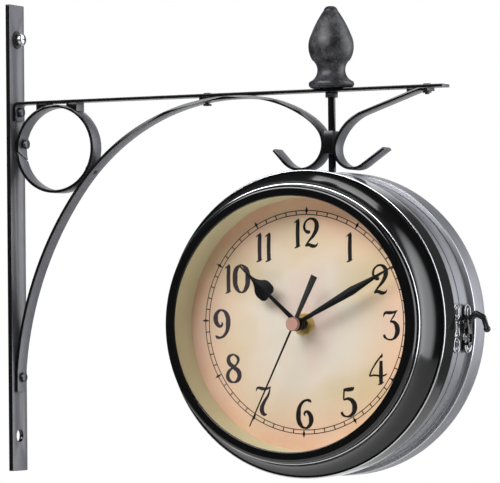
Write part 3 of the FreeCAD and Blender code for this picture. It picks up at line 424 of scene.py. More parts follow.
# the rest by name: what it is, its two colours, roughness, grain in millimetres, relief and share of metal
plainFinishes = {
    # black gloss paint: the rod's own colour, and painted shade on the strips' cut edges, which face along Y;
    # with a thin glint
    "rodBlackAndEdgeShade": ("gloss powder paint pooled on cut edges", ("#040405", "#09090A"), (0.16, 0.22), 3, 0.02),
    # bright metal on the rolled edges: painted highlight lines round the case
    "edgeLine": ("polished enamel edge", ("#B9BABE", "#D6D7DA"), (0.12, 0.2), 3, 0.02, 0.9),
    # blackened steel: dark, with a dull metal glint
    "blackSteel": ("blackened turned steel", ("#3A3A3E", "#55555B"), (0.3, 0.42), 0.8, 0.1, 1.0),
    # rolled steel: grey, with a soft glint
    "plainSteel": ("plain rolled steel", ("#8C8E92", "#A6A8AC"), (0.3, 0.42), 2.5, 0.06, 1.0),
    # black rubber: dull and slightly dusty
    "rubber": ("extruded black rubber", ("#101011", "#1C1C1D"), (0.7, 0.85), 0.9, 0.2),
    # lacquered card: cream with a little olive, flat
    "creamCard": ("lacquered cream card", ("#D8D3A8", "#E6E1C0"), (0.5, 0.62), 14, 0.03),
    # turned brass: warm gold with a soft turned finish
    "brass": ("turned brass", ("#E3C06A", "#F0D48C"), (0.36, 0.48), 2.2, 0.02, 1.0),
    # lacquered aluminium: black with a satin edge
    "handLacquer": ("black lacquer on stamped aluminium", ("#030303", "#080809"), (0.36, 0.46), 3, 0.03),
    # moulded ABS: matte black with a fine spark-eroded grain
    "blackPlastic": ("moulded black ABS", ("#070708", "#0E0E0F"), (0.42, 0.56), 0.5, 0.25),
    # shrink sleeve: dark green film, glossy
    "batterySleeve": ("shrink-wrapped battery sleeve", ("#1E4A2E", "#2A5C3A"), (0.2, 0.3), 6, 0.03),
    # enamelled copper wire: orange red metal
    "copperWire": ("enamelled copper winding", ("#B3602E", "#C97B45"), (0.24, 0.36), 0.4, 0.4, 1.0),
    # fibreglass laminate: green and slightly glossy
    "circuitBoard": ("etched fibreglass laminate", ("#1C5A34", "#2B7346"), (0.3, 0.42), 1.5, 0.1),
    # black lacquer on pressed steel: deep black with a satin glint
    "latchMetal": ("lacquered pressed steel", ("#070708", "#121214"), (0.2, 0.34), 1.6, 0.1),
    # bright silver grey steel: the wall screw's own head, and painted highlight on the latch's ridges
    "brightSteelAndRidgeHighlight": ("rubbed bright steel edge", ("#A9AAAE", "#D2D3D6"), (0.2, 0.32), 1.0, 0.05, 1.0),
    # copper-coloured lacquer: pinkish brown with a soft gloss
    "copperCap": ("copper lacquer on a turned button", ("#B98A7C", "#CFA193"), (0.3, 0.4), 3, 0.02),
    # matte white board: the studio's pale floor
    "studioBoard": ("matte white studio board", ("#ECECEA", "#F3F3F1"), (0.7, 0.8), 40, 0.02),
}
for name, finish in plainFinishes.items():
    materials[name] = simpleMaterial(*finish)
print("materials made:", len(materials))


# bracket

bracket = {
    # rounding of each node's edges in millimetres
    "edges": {"wall_plate": 0.5, "top_arm": 0.35, "curved_brace": 0.35, "right_scroll": 0.35,
              "bracket_ring": 0.35, "arm_wedges": 0.25, "rod_guide": 0.25},
    "boltEdge": 0.3, "edgeSlope": 0.3,
}


def makeBracket():
    for node, edge in bracket["edges"].items():
        piece = copyOfNode(node, edge)
        finishPiece(piece, "bracket", materials["bracketPaint"], (node,))
        # faces that look along Y are the cut edges of the strips; they get painted shade in black
        piece.data.materials.append(materials["rodBlackAndEdgeShade"])
        for face in piece.data.polygons:
            if abs(face.normal.y) > bracket["edgeSlope"]:
                face.material_index = 1
    for node in ("bracket_screws", "bracket_nuts"):
        piece = copyOfNode(node, bracket["boltEdge"])
        finishPiece(piece, "bracket", materials["blackSteel"], (node,))


wallFixing = {
    "height": 136, "plateFace": 3.0, "plugBack": 0.2, "plug": 4.2, "collar": 6.0, "collarThick": 1.0,
    "chamfer": 0.3, "neck": 2.4, "head": 4.4, "proud": 9.4, "headThick": 3.2, "dome": 0.5, "gap": 0.05,
    "brim": 0.1,
    # the two slots of the recess, up and across
    "slots": ((5.4, 1.3), (1.3, 5.4)), "slotDeep": 1.5,
}


def turnAlongArm(name, line, z, angle, steps=48):
    # a section of (distance from the wall, radius) turned about a line along X at the given height
    points = [mm(x, 0, z + radius) for x, radius in line]
    piece = spinLine(name, points, mm(0, 0, z), (1, 0, 0), steps, closed=False)
    smooth(piece, angle)
    return piece


def makeWallFixing():
    # the upper wall screw in its plug: a pan head with a cross recess, standing proud of the plate
    z, gap, chamfer = wallFixing["height"], wallFixing["gap"], wallFixing["chamfer"]
    face, plug, collar = wallFixing["plateFace"] + gap, wallFixing["plug"], wallFixing["collar"]
    top = wallFixing["plateFace"] + wallFixing["collarThick"]
    piece = turnAlongArm("wall_plug", [
        (wallFixing["plugBack"], 0), (wallFixing["plugBack"], plug), (face, plug), (face, collar),
        (top - chamfer, collar), (top, collar - chamfer), (top, 0)], z, 40)
    finishPiece(piece, "bracket", materials["blackPlastic"])
    proud, head, neck = wallFixing["proud"], wallFixing["head"], wallFixing["neck"]
    under, brim = top + gap, proud - wallFixing["headThick"]
    angles = [math.radians(step) for step in range(80, 0, -10)]
    dome = [(proud - head * wallFixing["dome"] * (1 - math.cos(a)), head * math.sin(a)) for a in angles]
    line = [(under, 0), (under, neck), (brim, neck), (brim, head - wallFixing["brim"])] + dome + [(proud, 0)]
    screw = turnAlongArm("wall_screw", line, z, 35)
    for tall, wide in wallFixing["slots"]:
        deselectAll()
        bpy.ops.mesh.primitive_cube_add(size=1, location=mm(proud, 0, z),
                                        scale=mm(2 * wallFixing["slotDeep"], wide, tall))
        cutter = bpy.context.object
        modifier = screw.modifiers.new("recess", "BOOLEAN")
        modifier.object = cutter
        modifier.operation = "DIFFERENCE"
        applyModifiers(screw)
        bpy.data.objects.remove(cutter)
    smooth(screw, 35)
    finishPiece(screw, "bracket", materials["brightSteelAndRidgeHighlight"])


makeWallFixing()
makeBracket()
print("bracket finished")


# finial: one turned shape with a rounded foot and a blunt tip

finial = {
    "foot": 13.2, "steps": 96, "stepsPerArc": 12,
    # the side from the foot up, each arc as its bulge and its end, with (radius, height) in millimetres
    "side": (((15.0, 2.0), (14.5, 4.2)), ((9.3, 11.0), (12.6, 18.6)), ((15.0, 26.2), (13.1, 35.6)),
             ((9.0, 44.4), (4.7, 51.2)), ((3.4, 53.3), (1.0, 54.2))),
}


def throughArc(start, middle, end, count):
    # points of the circle arc from start to end that passes the middle point
    (ax, ay), (bx, by), (cx, cy) = start, middle, end
    d = 2 * (ax * (by - cy) + bx * (cy - ay) + cx * (ay - by))
    aa, bb, cc = (x * x + y * y for x, y in (start, middle, end))
    ux = (aa * (by - cy) + bb * (cy - ay) + cc * (ay - by)) / d
    uy = (aa * (cx - bx) + bb * (ax - cx) + cc * (bx - ax)) / d
    radius = math.hypot(ax - ux, ay - uy)
    first, passed, last = (math.atan2(y - uy, x - ux) for x, y in (start, middle, end))
    sweep = (last - first) % math.tau
    if (passed - first) % math.tau > sweep:
        sweep -= math.tau
    angles = [first + sweep * n / count for n in range(count + 1)]
    return [(ux + radius * math.cos(a), uy + radius * math.sin(a)) for a in angles]


def makeFinial():
    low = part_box("finial")[0]
    outline = [(0, 0), (finial["foot"], 0)]
    for middle, end in finial["side"]:
        outline += throughArc(outline[-1], middle, end, finial["stepsPerArc"])[1:]
    outline.append((0, outline[-1][1]))
    points = [Vector((rodX + mm(r), 0, low.z + mm(h))) for r, h in outline]
    piece = spinLine("finial_casting", points, Vector((rodX, 0, low.z)), (0, 0, 1), finial["steps"],
                     closed=False)
    smooth(piece, 50)
    finishPiece(piece, "clock", materials["finialPaint"], ("finial",))


makeFinial()
print("finial finished")


# case: shells, bezels and inner walls are turned

case = {
    "steps": 256, "band": 96.5, "hoop": 100.0, "inner": 95.3, "hoopStart": 15.7, "hoopEnd": 32.8, "bead": 0.8,
    "shoulderDrop": 2.0, "cove": 90.4, "coveEnd": 50.0, "flangeDepth": 51.2, "flange": 85.2, "wall": 1.2,
    "carrierSeat": 30.6, "hollowEnd": 27.5, "front": 56.0, "bezel": 89.4, "bezelSeat": 86.9, "opening": 82.2,
    "seamGap": 0.15, "wallFoot": 81.8, "wallRim": 83.8, "wallOuter": 84.8, "dialFace": 31.5, "wallSetBack": 3.5,
    # small roundings, steps and gaps
    "seamChamfer": 0.35, "bandRing": 7.0, "hoopFillet": 0.4, "hoopRing": 4, "coveGap": 0.2, "lipRound": 0.4,
    "lipCorner": 0.12, "bezelRound": 2.6, "bezelLip": 0.7, "bezelStep": 1.3, "bezelGap": 0.1,
    "wallGap": 0.02, "wallChamfer": 0.3,
    "beadSteps": 6, "coveSteps": 28, "coveInsideSteps": 12, "bezelSteps": 12, "bezelLipSteps": 6,
    # how far from its true place a face may lie and still get the finish of its edge or band
    "nearHoop": 0.6, "nearLip": 0.5, "near": 0.1, "onNeck": 0.02,
}


def coveArc(hubX, radius, low, high, count):
    angles = [180 + math.degrees(math.asin((case["coveEnd"] - depth) / radius)) for depth in (low, high)]
    return arc(hubX, case["coveEnd"], radius, angles[0], angles[1], count)


def shellOutline():
    # band, raised hoop, hollow shoulder and inward flange, then back along the inside
    hoop, start, end, bead, wall = (case[name] for name in ("hoop", "hoopStart", "hoopEnd", "bead", "wall"))
    shoulder, low = hoop - case["shoulderDrop"], end + case["coveGap"]
    neck, top, rim = case["cove"], case["coveEnd"], case["flangeDepth"]
    radius = ((shoulder - neck) ** 2 + (top - low) ** 2) / (2 * (shoulder - neck))
    band, inner, seam, chamfer = (case[name] for name in ("band", "inner", "seamGap", "seamChamfer"))
    fillet, ring, steps = case["hoopFillet"], case["hoopRing"], case["beadSteps"]
    lip, corner, flange = case["lipRound"], case["lipCorner"], case["flange"]
    line = [(inner, seam), (band - chamfer, seam), (band, seam + chamfer)]
    line += [(band, case["bandRing"]), (band, start - fillet), (band + fillet, start)]
    line += arc(hoop - bead, start + bead, bead, -90, 0, steps)
    line += [(hoop, start + ring), (hoop, end - ring)]
    line += arc(hoop - bead, end - bead, bead, 0, 90, steps)
    line += [(shoulder, end)]
    line += coveArc(neck + radius, radius, low, top, case["coveSteps"])
    line += [(neck, rim - lip), (neck - corner, rim - corner), (neck - lip, rim), (flange, rim)]
    line += [(flange, rim - wall), (neck - wall, rim - wall)]
    line += coveArc(neck + radius, radius + wall, top, case["carrierSeat"], case["coveInsideSteps"])[1:]
    line += [(inner, case["carrierSeat"]), (inner, case["hollowEnd"]), (hoop - wall, case["hollowEnd"])]
    line += [(hoop - wall, start + wall), (inner, start + wall)]
    return line


def bezelOutline():
    outer, opening, front, seatRadius = case["bezel"], case["opening"], case["front"], case["bezelSeat"]
    low, turned, lip = case["flangeDepth"] + case["bezelGap"], case["bezelRound"], case["bezelLip"]
    line = [(seatRadius, low), (outer, low)]
    line += arc(outer - turned, front - turned, turned, 0, 90, case["bezelSteps"])
    line += arc(opening + lip, front - lip, lip, 90, 180, case["bezelLipSteps"])
    line += [(opening, front - case["bezelStep"]), (seatRadius, front - case["bezelStep"])]
    return line


def paintShell(shell, side):
    # the band and the rear hoop are made pale with bright metal, a painted reflection on black enamel; rolled
    # edges get bright metal, a painted highlight; the rest is enamel
    shell.data.materials.append(materials["satinBand"])
    shell.data.materials.append(materials["edgeLine"])
    start, end, bead, near = case["hoopStart"], case["hoopEnd"], case["bead"], case["near"]
    for face in shell.data.polygons:
        away = (face.center - caseCentre) * 1000
        radius, depth = math.hypot(away.x, away.z), abs(away.y)
        onHoop = radius > case["hoop"] - case["nearHoop"] and (depth < start + bead or depth > end - bead)
        onNeck = case["cove"] - case["nearLip"] < radius < case["cove"] + case["onNeck"]
        onLip = onNeck and depth > case["coveEnd"] + near
        onRearHoop = side == "rear" and start + bead < depth < end - bead
        if radius > case["band"] - near and (depth < start + near or onRearHoop):
            # painted reflection on the band and the rear hoop
            face.material_index = 1
        elif onHoop or onLip:
            # painted highlight: bright metal on the hoop's rolled edges and on the neck's lip
            face.material_index = 2


def turnOnSide(name, side, line, angle=35):
    points = [onSide(side, radius, depth, 0) for radius, depth in line]
    piece = spinLine(name, points, caseCentre, (0, 1, 0), case["steps"])
    smooth(piece, angle)
    return piece


def makeCase():
    for side in sides:
        shell = turnOnSide(side + "_shell_spun", side, shellOutline())
        finishPiece(shell, hubs[side], materials["caseEnamel"], (side + "_shell",))
        paintShell(shell, side)
        bezel = turnOnSide(side + "_bezel_spun", side, bezelOutline(), 50)
        finishPiece(bezel, hubs[side], materials["caseEnamel"], (side + "_bezel",))
        foot, rim, outer = case["wallFoot"], case["wallRim"], case["wallOuter"]
        low, high = case["dialFace"] + case["wallGap"], case["front"] - case["wallSetBack"]
        chamfer = case["wallChamfer"]
        wall = turnOnSide(side + "_inner_wall_spun", side, [
            (foot, low), (outer, low), (outer, high), (rim + chamfer, high), (rim, high - chamfer)])
        finishPiece(wall, hubs[side], materials["creamCard"], (side + "_inner_wall",))


makeCase()
print("case finished")


# dial print: numerals, minute track

dial = {
    "turn": -1.4, "face": 31.5, "ink": 0.06, "numeralHeight": 18.5, "lineWidth": 0.55, "tick": 0.7,
    "trackInner": 69.7, "trackOuter": 72.35, "trackShift": (0.9, 1.2), "markLength": 5.2, "markWidth": 2.0,
    "digitGap": 8, "inkSwell": 0.14,
    # clock angle and radius of each numeral, hour by hour
    "places": {12: (2.2, 58.9), 1: (34, 59.3), 2: (62.8, 61), 3: (91.3, 61.6), 4: (120.3, 60.3),
               5: (148.6, 59.3), 6: (180.2, 58.2), 7: (210.9, 58), 8: (241.2, 58.6), 9: (270.6, 59.5),
               10: (302, 57), 11: (330.6, 57.8)},
}

# the width of each digit and its brush strokes, as (x, y, half width), in hundredths of its height
glyphs = {
    "0": (60, [[(30, 99, 3), (11, 84, 8.5), (5, 52, 10), (10, 18, 8.5), (30, 1, 3), (49, 17, 8.5),
                (55, 48, 10), (50, 82, 8.5), (30, 99, 3)]]),
    "1": (28, [[(15, 4, 7.2), (14.5, 50, 7.6), (16, 96, 7)],
               [(0, 86, 0.8), (8, 91, 3), (20, 100, 2.8)],
               [(2, -2, 2), (14, 3, 4), (25, 7, 1.2)]]),
    "2": (60, [[(27, 56, 4.5), (20, 53, 6.5), (8, 60, 5), (5, 78, 4.5), (15, 94, 3.5), (32, 100, 4),
                (49, 90, 7.5), (53, 72, 9), (44, 48, 7), (24, 24, 4), (8, 5, 2.5)],
               [(8, 4, 3), (20, 9, 6), (36, 4, 7), (49, 5, 4.5), (57, 15, 1)]]),
    "3": (60, [[(2, 78, 1), (9, 92, 5), (26, 93, 6), (44, 95, 4.5), (56, 100, 2)],
               [(52, 98, 2), (42, 82, 3), (28, 62, 2)],
               [(27, 62, 2.5), (42, 60, 6), (54, 42, 9.5), (53, 20, 8.5), (36, 1, 3.5), (17, 2, 3),
                (6, 11, 5), (4, 18, 4.5)]]),
    "4": (66, [[(46, 100, 3), (34, 86, 3.5), (14, 58, 2.8), (1, 32, 3)],
               [(1, 31, 3), (22, 34, 3.5), (44, 31, 3.5), (62, 35, 3), (69, 40, 1)],
               [(46, 84, 6), (45, 40, 8), (45, 6, 7)],
               [(33, 0, 1.5), (45, 5, 4), (56, 10, 1.2)],
               [(40, 94, 3), (48, 100, 5), (50, 110, 1.2)]]),
    "5": (58, [[(14, 93, 5), (30, 94, 7.5), (46, 97, 7), (53, 102, 1.5)],
               [(14, 96, 3), (13, 76, 3.2), (12, 58, 2.8)],
               [(12, 58, 3), (30, 62, 5.5), (49, 50, 9), (54, 28, 10), (42, 6, 6), (22, 0, 3), (8, 7, 5),
                (3, 16, 5)]]),
    "6": (60, [[(56, 90, 2), (50, 96, 5.5), (36, 98, 4), (16, 84, 6), (6, 50, 9.5), (11, 17, 8.5),
                (30, 1, 3.5), (47, 8, 6.5), (55, 29, 9.5), (49, 50, 8), (36, 58, 5), (29, 50, 4),
                (33, 42, 1.2)]]),
    "7": (58, [[(0, 84, 1.2), (6, 96, 4), (22, 94, 6.5), (40, 93, 5), (58, 100, 2)],
               [(56, 99, 2), (48, 72, 4.5), (30, 44, 6.5), (22, 20, 9), (30, 4, 7), (42, 3, 2)]]),
    "8": (58, [[(29, 99, 3), (11, 89, 6.5), (11, 70, 8), (30, 53, 7.5), (50, 34, 9), (48, 11, 8),
                (29, 0, 3), (8, 12, 7.5), (8, 34, 6.5), (26, 52, 3.5), (43, 66, 4), (47, 84, 6),
                (29, 99, 3)]]),
    "9": (60, [[(4, 10, 2), (10, 4, 5.5), (24, 2, 4), (44, 16, 6), (54, 50, 9.5), (49, 83, 8.5),
                (30, 99, 3.5), (13, 92, 6.5), (5, 71, 9.5), (11, 50, 8), (24, 42, 5), (31, 50, 4),
                (27, 58, 1.2)]]),
}


def strokeCurve(name, strokes, toWorld):
    # brush strokes as Bezier curves whose radius follows the brush
    curve = bpy.data.curves.new(name, "CURVE")
    curve.dimensions = "3D"
    curve.bevel_depth = 1
    curve.bevel_resolution = 3
    curve.resolution_u = 8
    curve.use_fill_caps = True
    for stroke in strokes:
        spline = curve.splines.new("BEZIER")
        spline.bezier_points.add(len(stroke) - 1)
        for point, (x, y, half) in zip(spline.bezier_points, stroke):
            point.co = (x, y, 0)
            point.radius = half
            point.handle_left_type = point.handle_right_type = "AUTO"
    piece = bpy.data.objects.new(name, curve)
    scene.collection.objects.link(piece)
    pick(piece)
    bpy.ops.object.convert(target="MESH")
    piece.matrix_world = toWorld
    bakePlace(piece)
    return piece


def dialPlane(side, x, z, size, depth):
    # matrix that lays a flat drawing on the dial: drawing x to the reader's right, y up, thin across
    quarter = Euler((math.radians(90), 0, 0 if side == "front" else math.pi)).to_matrix().to_4x4()
    thin = mm(dial["ink"]) * dial["inkSwell"]
    return Matrix.Translation(onSide(side, x, depth, z)) @ quarter @ Matrix.Diagonal((size, size, thin, 1))


def joinPieces(name, pieces):
    deselectAll()
    for piece in pieces:
        piece.select_set(True)
    bpy.context.view_layer.objects.active = pieces[0]
    bpy.ops.object.join()
    pieces[0].name = name
    return pieces[0]


def makeNumerals(side):
    height = dial["numeralHeight"]
    size, gap = height / 100, dial["digitGap"]
    pieces = []
    for hour, (angle, radius) in dial["places"].items():
        digits = str(hour)
        total = sum(glyphs[digit][0] for digit in digits) + gap * (len(digits) - 1)
        angle = math.radians(angle)
        middleX, middleZ = radius * math.sin(angle), radius * math.cos(angle)
        x = middleX - total * size / 2
        for digit in digits:
            width, strokes = glyphs[digit]
            plane = dialPlane(side, x, middleZ - height / 2, mm(size), dial["face"])
            pieces.append(strokeCurve(f"{side}_digit_{hour}_{digit}", strokes, plane))
            x += (width + gap) * size
    piece = joinPieces(side + "_numerals", pieces)
    finishPiece(piece, hubs[side], materials["dialInk"])


def placeOnTrack(side, angle, radius):
    # a spot of the track, which is printed a little off the centre of the hands
    a = math.radians(angle)
    right, up = dial["trackShift"]
    return onSide(side, radius * math.sin(a) + right, dial["face"] + dial["ink"] / 2, radius * math.cos(a) + up)


def trackMark(side, angle, radius, wide, tall, corners):
    # a thin printed mark with four sides, standing up or on its corner, pointing away from the middle
    deselectAll()
    bpy.ops.mesh.primitive_cylinder_add(vertices=4, radius=0.5, depth=1, rotation=(math.radians(90), 0, 0),
                                        location=placeOnTrack(side, angle, radius))
    mark = bpy.context.object
    bpy.ops.object.transform_apply(location=False, rotation=True, scale=False)
    editAll(mark)
    if not corners:
        bpy.ops.transform.rotate(value=math.radians(45), orient_axis="Y", center_override=mark.location)
        bpy.ops.transform.resize(value=(math.sqrt(2), 1, math.sqrt(2)), center_override=mark.location)
    bpy.ops.object.mode_set(mode="OBJECT")
    mark.scale = mm(wide, dial["ink"], tall)
    mark.rotation_euler = (0, math.radians(angle if side == "front" else -angle), 0)
    bakePlace(mark)
    return mark


def makeTrack(side):
    # two thin rings, a tick between them at each minute and a diamond on the outer one at each hour
    face, width, thick = dial["face"], dial["lineWidth"], dial["ink"]
    inner, outer = dial["trackInner"], dial["trackOuter"]
    pieces = []
    for radius in (inner, outer):
        near, far = radius - width / 2, radius + width / 2
        ring = turnOnSide(f"{side}_ring_{radius:.0f}", side, [(near, face), (far, face), (far, face + thick),
                                                             (near, face + thick)])
        right, up = dial["trackShift"]
        ring.location += onSide(side, right, 0, up) - caseCentre
        bakePlace(ring)
        pieces.append(ring)
    for minute in range(60):
        angle = 6 * minute - dial["turn"]
        pieces.append(trackMark(side, angle, (inner + outer) / 2, dial["tick"], outer - inner, False))
        if minute % 5 == 0:
            pieces.append(trackMark(side, angle, outer, dial["markWidth"], dial["markLength"], True))
    piece = joinPieces(side + "_minute_track", pieces)
    finishPiece(piece, hubs[side], materials["dialInk"])


for side in sides:
    makeNumerals(side)
    makeTrack(side)
print("dials printed")


# hands and the button in their middle

hands = {"edge": 0.12, "gloss": 0.2, "capRadius": 4.5, "capHeight": 2.3, "capProud": 0.06, "capChamfer": 0.4,
         "capSteps": 64}


def makeHands():
    lacquer = materials["handLacquer"].node_tree.nodes["Principled BSDF"]
    lacquer.inputs["Specular IOR Level"].default_value = hands["gloss"]
    for side in sides:
        for hand in ("hour", "minute", "second"):
            node = f"{side}_{hand}_hand"
            piece = copyOfNode(node, hands["edge"], angle=40)
            finishPiece(piece, node, materials["handLacquer"], (node,))
        low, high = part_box(side + "_second_hand")
        top = (caseCentre.y - low.y) * 1000 if side == "front" else (high.y - caseCentre.y) * 1000
        top += hands["capProud"]
        radius, height, chamfer = hands["capRadius"], hands["capHeight"], hands["capChamfer"]
        line = [(0, top - height), (radius, top - height), (radius, top - chamfer),
                (radius - chamfer, top), (0, top)]
        points = [onSide(side, r, d, 0) for r, d in line]
        cap = spinLine(side + "_second_cap", points, caseCentre, (0, 1, 0), hands["capSteps"],
                       closed=False)
        smooth(cap, 30)
        finishPiece(cap, side + "_second_hand", materials["copperCap"])


makeHands()
print("hands finished")


# hinge, latch, rod and small fasteners

fittings = {
    # rounding in millimetres, and then the nodes of each finish with the body that carries them
    "latchEdge": 0.25, "screwEdge": 0.15, "rodEdge": 0.4,
    "latch": {"hinge_rear_leaf": "clock", "hinge_front_leaf": "front_half", "hinge_pin": "clock",
              "latch_rear_plate": "clock", "latch_front_plate": "front_half", "latch_hook": "latch_hook",
              "latch_pivot": "clock"},
    "screws": {"rod_nuts": "clock", "finial_washer": "clock", "rear_case_screws": "clock",
               "front_case_screws": "front_half"},
}


def makeFittings():
    for node, body in fittings["latch"].items():
        piece = copyOfNode(node, fittings["latchEdge"], angle=40)
        finishPiece(piece, body, materials["latchMetal"], (node,))
    for node, body in fittings["screws"].items():
        piece = copyOfNode(node, fittings["screwEdge"], angle=40)
        finishPiece(piece, body, materials["blackSteel"], (node,))
    piece = copyOfNode("hanger_rod", fittings["rodEdge"], segments=3, angle=40)
    finishPiece(piece, "clock", materials["rodBlackAndEdgeShade"], ("hanger_rod",))


relief = {
    # raised lines of the latch plates: (distance out from the seam, height above the plate's middle,
    # half width), in millimetres
    "front": [
        [(14.4, 13.0, 0.35), (15.3, 8.6, 0.5), (12.8, 5.2, 0.5), (9.6, 2.8, 0.45), (9.2, 0.0, 0.5),
         (11.2, -3.2, 0.5), (14.6, -7.6, 0.5), (14.9, -11.6, 0.5), (12.4, -14.6, 0.45), (9.6, -15.6, 0.3)],
        [(3.0, 15.4, 0.3), (8.6, 15.6, 0.5), (13.0, 15.0, 0.3)],
        [(4.6, 4.6, 0.3), (5.6, 1.4, 0.5), (5.4, -2.4, 0.5), (4.8, -4.6, 0.3)],
        [(10.6, 4.6, 0.3), (8.6, 4.0, 0.7), (7.0, 4.8, 0.3)],
        [(11.4, -5.2, 0.3), (9.0, -4.2, 0.8), (6.6, -4.8, 0.5), (4.4, -4.2, 0.3)],
        [(12.4, -8.0, 0.3), (11.0, -6.4, 0.6), (9.4, -6.0, 0.3)],
    ],
    "rear": [
        [(1.0, 5.4, 0.3), (2.8, 2.6, 0.5), (3.8, -0.8, 0.55), (2.2, -4.0, 0.5), (1.0, -5.4, 0.3)],
        [(1.2, 15.2, 0.3), (6.0, 15.6, 0.5), (11.0, 15.2, 0.3)],
        [(4.0, -4.6, 0.5), (7.0, -5.4, 0.8), (9.4, -4.2, 0.5), (11.4, -5.4, 0.3)],
        [(3.2, -6.6, 0.4), (6.6, -7.0, 0.6), (10.4, -7.8, 0.3)],
        [(14.4, -4.0, 0.3), (14.8, -9.0, 0.5), (12.6, -14.0, 0.5), (9.6, -15.6, 0.3)],
    ],
    # oval rings: centre, half width and half height, half width of the line
    "frontOvals": [(8.8, 10.6, 4.6, 5.0, 0.5), (8.6, 10.6, 2.3, 3.2, 0.55), (9.0, -10.8, 4.2, 4.7, 0.45),
                   (9.0, -10.8, 1.9, 2.7, 0.5)],
    "rearOvals": [(9.0, 10.6, 4.6, 4.9, 0.5), (9.6, 10.2, 1.6, 2.8, 0.5), (8.6, -10.8, 3.9, 4.6, 0.45),
                  (8.6, -11.4, 1.3, 2.2, 0.5)],
    "flatness": 0.7, "ovalPoints": 8, "screwHead": 0.8,
}


def oval(x, y, wide, tall, half):
    count = relief["ovalPoints"]
    angles = [math.tau * n / count for n in range(count)]
    ring = [(x + wide * math.sin(a), y + tall * math.cos(a), half) for a in angles]
    return ring + ring[:1]


def makeRelief():
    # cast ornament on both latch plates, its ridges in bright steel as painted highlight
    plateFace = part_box("front_case_screws")[1].x - mm(relief["screwHead"])
    flat = mm(relief["flatness"])
    for half, body, way in (("front", "front_half", -1), ("rear", "clock", 1)):
        height = middleOf(f"latch_{half}_plate").z
        strokes = relief[half] + [oval(*ring) for ring in relief[half + "Ovals"]]
        plane = Matrix(((0, 0, flat, plateFace), (mm(way), 0, 0, caseCentre.y),
                        (0, mm(1), 0, height), (0, 0, 0, 1)))
        piece = strokeCurve(f"latch_{half}_relief", strokes, plane)
        editAll(piece)
        bpy.ops.mesh.normals_make_consistent(inside=False)
        bpy.ops.object.mode_set(mode="OBJECT")
        smooth(piece, 50)
        finishPiece(piece, body, materials["brightSteelAndRidgeHighlight"])


makeFittings()
makeRelief()
print("fittings finished")


# the nodes that keep their own shape get their finish here

kept = {
    "_glass": "glass", "_glass_seal": "rubber", "_dial": "dialPrint", "_dial_nut": "brass",
    "_dial_carrier": "plainSteel", "_movement_case": "blackPlastic", "_movement_cover": "blackPlastic",
    "_setting_knob": "blackPlastic",
    "_battery": "batterySleeve", "_motor_coil": "copperWire", "_circuit_board": "circuitBoard",
    "saddle_plate": "plainSteel", "seam_lip": "plainSteel", "guide_pins": "bracketPaint",
}


def finishNode(node):
    names = [ending for ending in kept if node.name.endswith(ending)]
    material = materials[kept[max(names, key=len)]] if names else materials["bracketPaint"]
    if node.material_slots:
        for slot in node.material_slots:
            slot.material = material
    else:
        node.data.materials.append(material)


for node in nodes.values():
    finishNode(node)
print("nodes painted")


# floor, lights and camera

studio = {
    "floorDrop": 0.55, "floorSize": 3.6, "seen": 1.0, "fill": 0.07, "tint": (0.97, 0.98, 1, 1),
    # soft bright fields of the studio, as direction, start and full cosine, and strength, each stretched upright
    "upright": 0.5,
    "fields": {
        "right": ((0.90, 0.43, 0.0), 0.78, 0.96, 3.6), "behind": ((-0.40, 0.91, 0.0), 0.90, 0.985, 1.1),
        "away": ((0.43, 0.90, 0.0), 0.80, 0.97, 0.06),
    },
}


def makeFloor():
    deselectAll()
    lowest = cadBounds[0][2]
    bpy.ops.mesh.primitive_grid_add(x_subdivisions=4, y_subdivisions=4, size=studio["floorSize"],
                                    location=(rodX, 0, lowest - studio["floorDrop"]))
    floor = bpy.context.object
    floor.name = "studio_floor"
    bakePlace(floor)
    floor.data.materials.append(materials["studioBoard"])


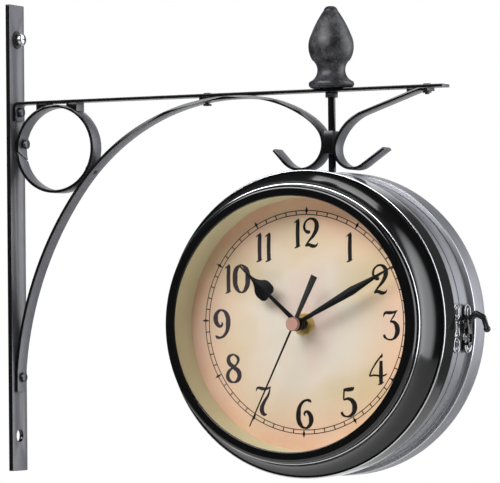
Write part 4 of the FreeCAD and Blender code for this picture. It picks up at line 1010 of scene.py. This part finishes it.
def makeWorld():
    # white to look at; the light that it gives is dim in front and bright to the right and behind the clock
    world = bpy.data.worlds.new("white_studio")
    world.use_nodes = True
    tree = world.node_tree
    tree.nodes.clear()
    seen = addNode(tree, "ShaderNodeBackground", {"Color": (1, 1, 1, 1), "Strength": studio["seen"]})
    coords = addNode(tree, "ShaderNodeTexCoord")
    squeezed = addNode(tree, "ShaderNodeVectorMath", {"operation": "MULTIPLY", 1: (1, 1, studio["upright"])},
                       {0: coords.outputs["Generated"]})
    direction = addNode(tree, "ShaderNodeVectorMath", {"operation": "NORMALIZE"},
                        {0: squeezed.outputs["Vector"]}).outputs["Vector"]
    total = None
    for aim, start, full, strength in studio["fields"].values():
        near = addNode(tree, "ShaderNodeVectorMath", {"operation": "DOT_PRODUCT", 1: Vector(aim).normalized()},
                       {0: direction})
        glow = addNode(tree, "ShaderNodeMapRange", {
            "interpolation_type": "SMOOTHSTEP", "From Min": start, "From Max": full, "To Max": strength,
        }, {"Value": near.outputs["Value"]})
        total = addNode(tree, "ShaderNodeMath", {"operation": "ADD", 1: studio["fill"]},
                        {0: glow.outputs["Result"], **({1: total.outputs["Value"]} if total else {})})
    felt = addNode(tree, "ShaderNodeBackground", {"Color": studio["tint"]}, {"Strength": total.outputs["Value"]})
    path = addNode(tree, "ShaderNodeLightPath")
    mix = addNode(tree, "ShaderNodeMixShader", None,
                  {0: path.outputs["Is Camera Ray"], 1: felt.outputs[0], 2: seen.outputs[0]})
    addNode(tree, "ShaderNodeOutputWorld", None, {"Surface": mix.outputs[0]})
    scene.world = world


lamps = {
    # place in metres, size across and up, watts
    "key": ((-0.4, -1.8, 1.35), (2.2, 1.1), 68),
    "top": ((0.2, 0.5, 1.8), (1.2, 0.8), 9),
}


def makeLamps():
    aim = Vector((rodX, 0, caseCentre.z))
    for name, (place, (wide, tall), power) in lamps.items():
        light = bpy.data.lights.new(name, "AREA")
        light.shape = "RECTANGLE"
        light.size, light.size_y = wide, tall
        light.energy = power
        lamp = bpy.data.objects.new(name, light)
        scene.collection.objects.link(lamp)
        lamp.location = place
        lamp.rotation_euler = (aim - Vector(place)).to_track_quat("-Z", "Y").to_euler()


view = {
    # camera solved from the photograph: place by turn, tilt and distance about the clock, then its own aim
    "turn": 25.22, "tilt": -0.25, "distance": 2.44497, "yaw": 1.283, "pitch": -1.5355, "roll": -0.573,
    "lens": 267.32,
}


def makeCamera():
    turn, tilt = math.radians(view["turn"]), math.radians(view["tilt"])
    aim = Vector((rodX, 0, caseCentre.z))
    away = Vector((math.sin(turn) * math.cos(tilt), -math.cos(turn) * math.cos(tilt), math.sin(tilt)))
    lens = bpy.data.cameras.new("photo_camera")
    lens.lens = view["lens"]
    lens.clip_end = 20
    camera = bpy.data.objects.new("photo_camera", lens)
    scene.collection.objects.link(camera)
    heading = Euler((math.radians(90 - view["pitch"]), 0, turn + math.radians(view["yaw"]))).to_matrix().to_4x4()
    camera.matrix_world = Matrix.Translation(aim + away * view["distance"]) @ heading @ Matrix.Rotation(
        math.radians(view["roll"]), 4, "Z")
    scene.camera = camera


makeFloor()
makeWorld()
makeLamps()
makeCamera()
scene.view_settings.view_transform = "Standard"
print("studio ready")
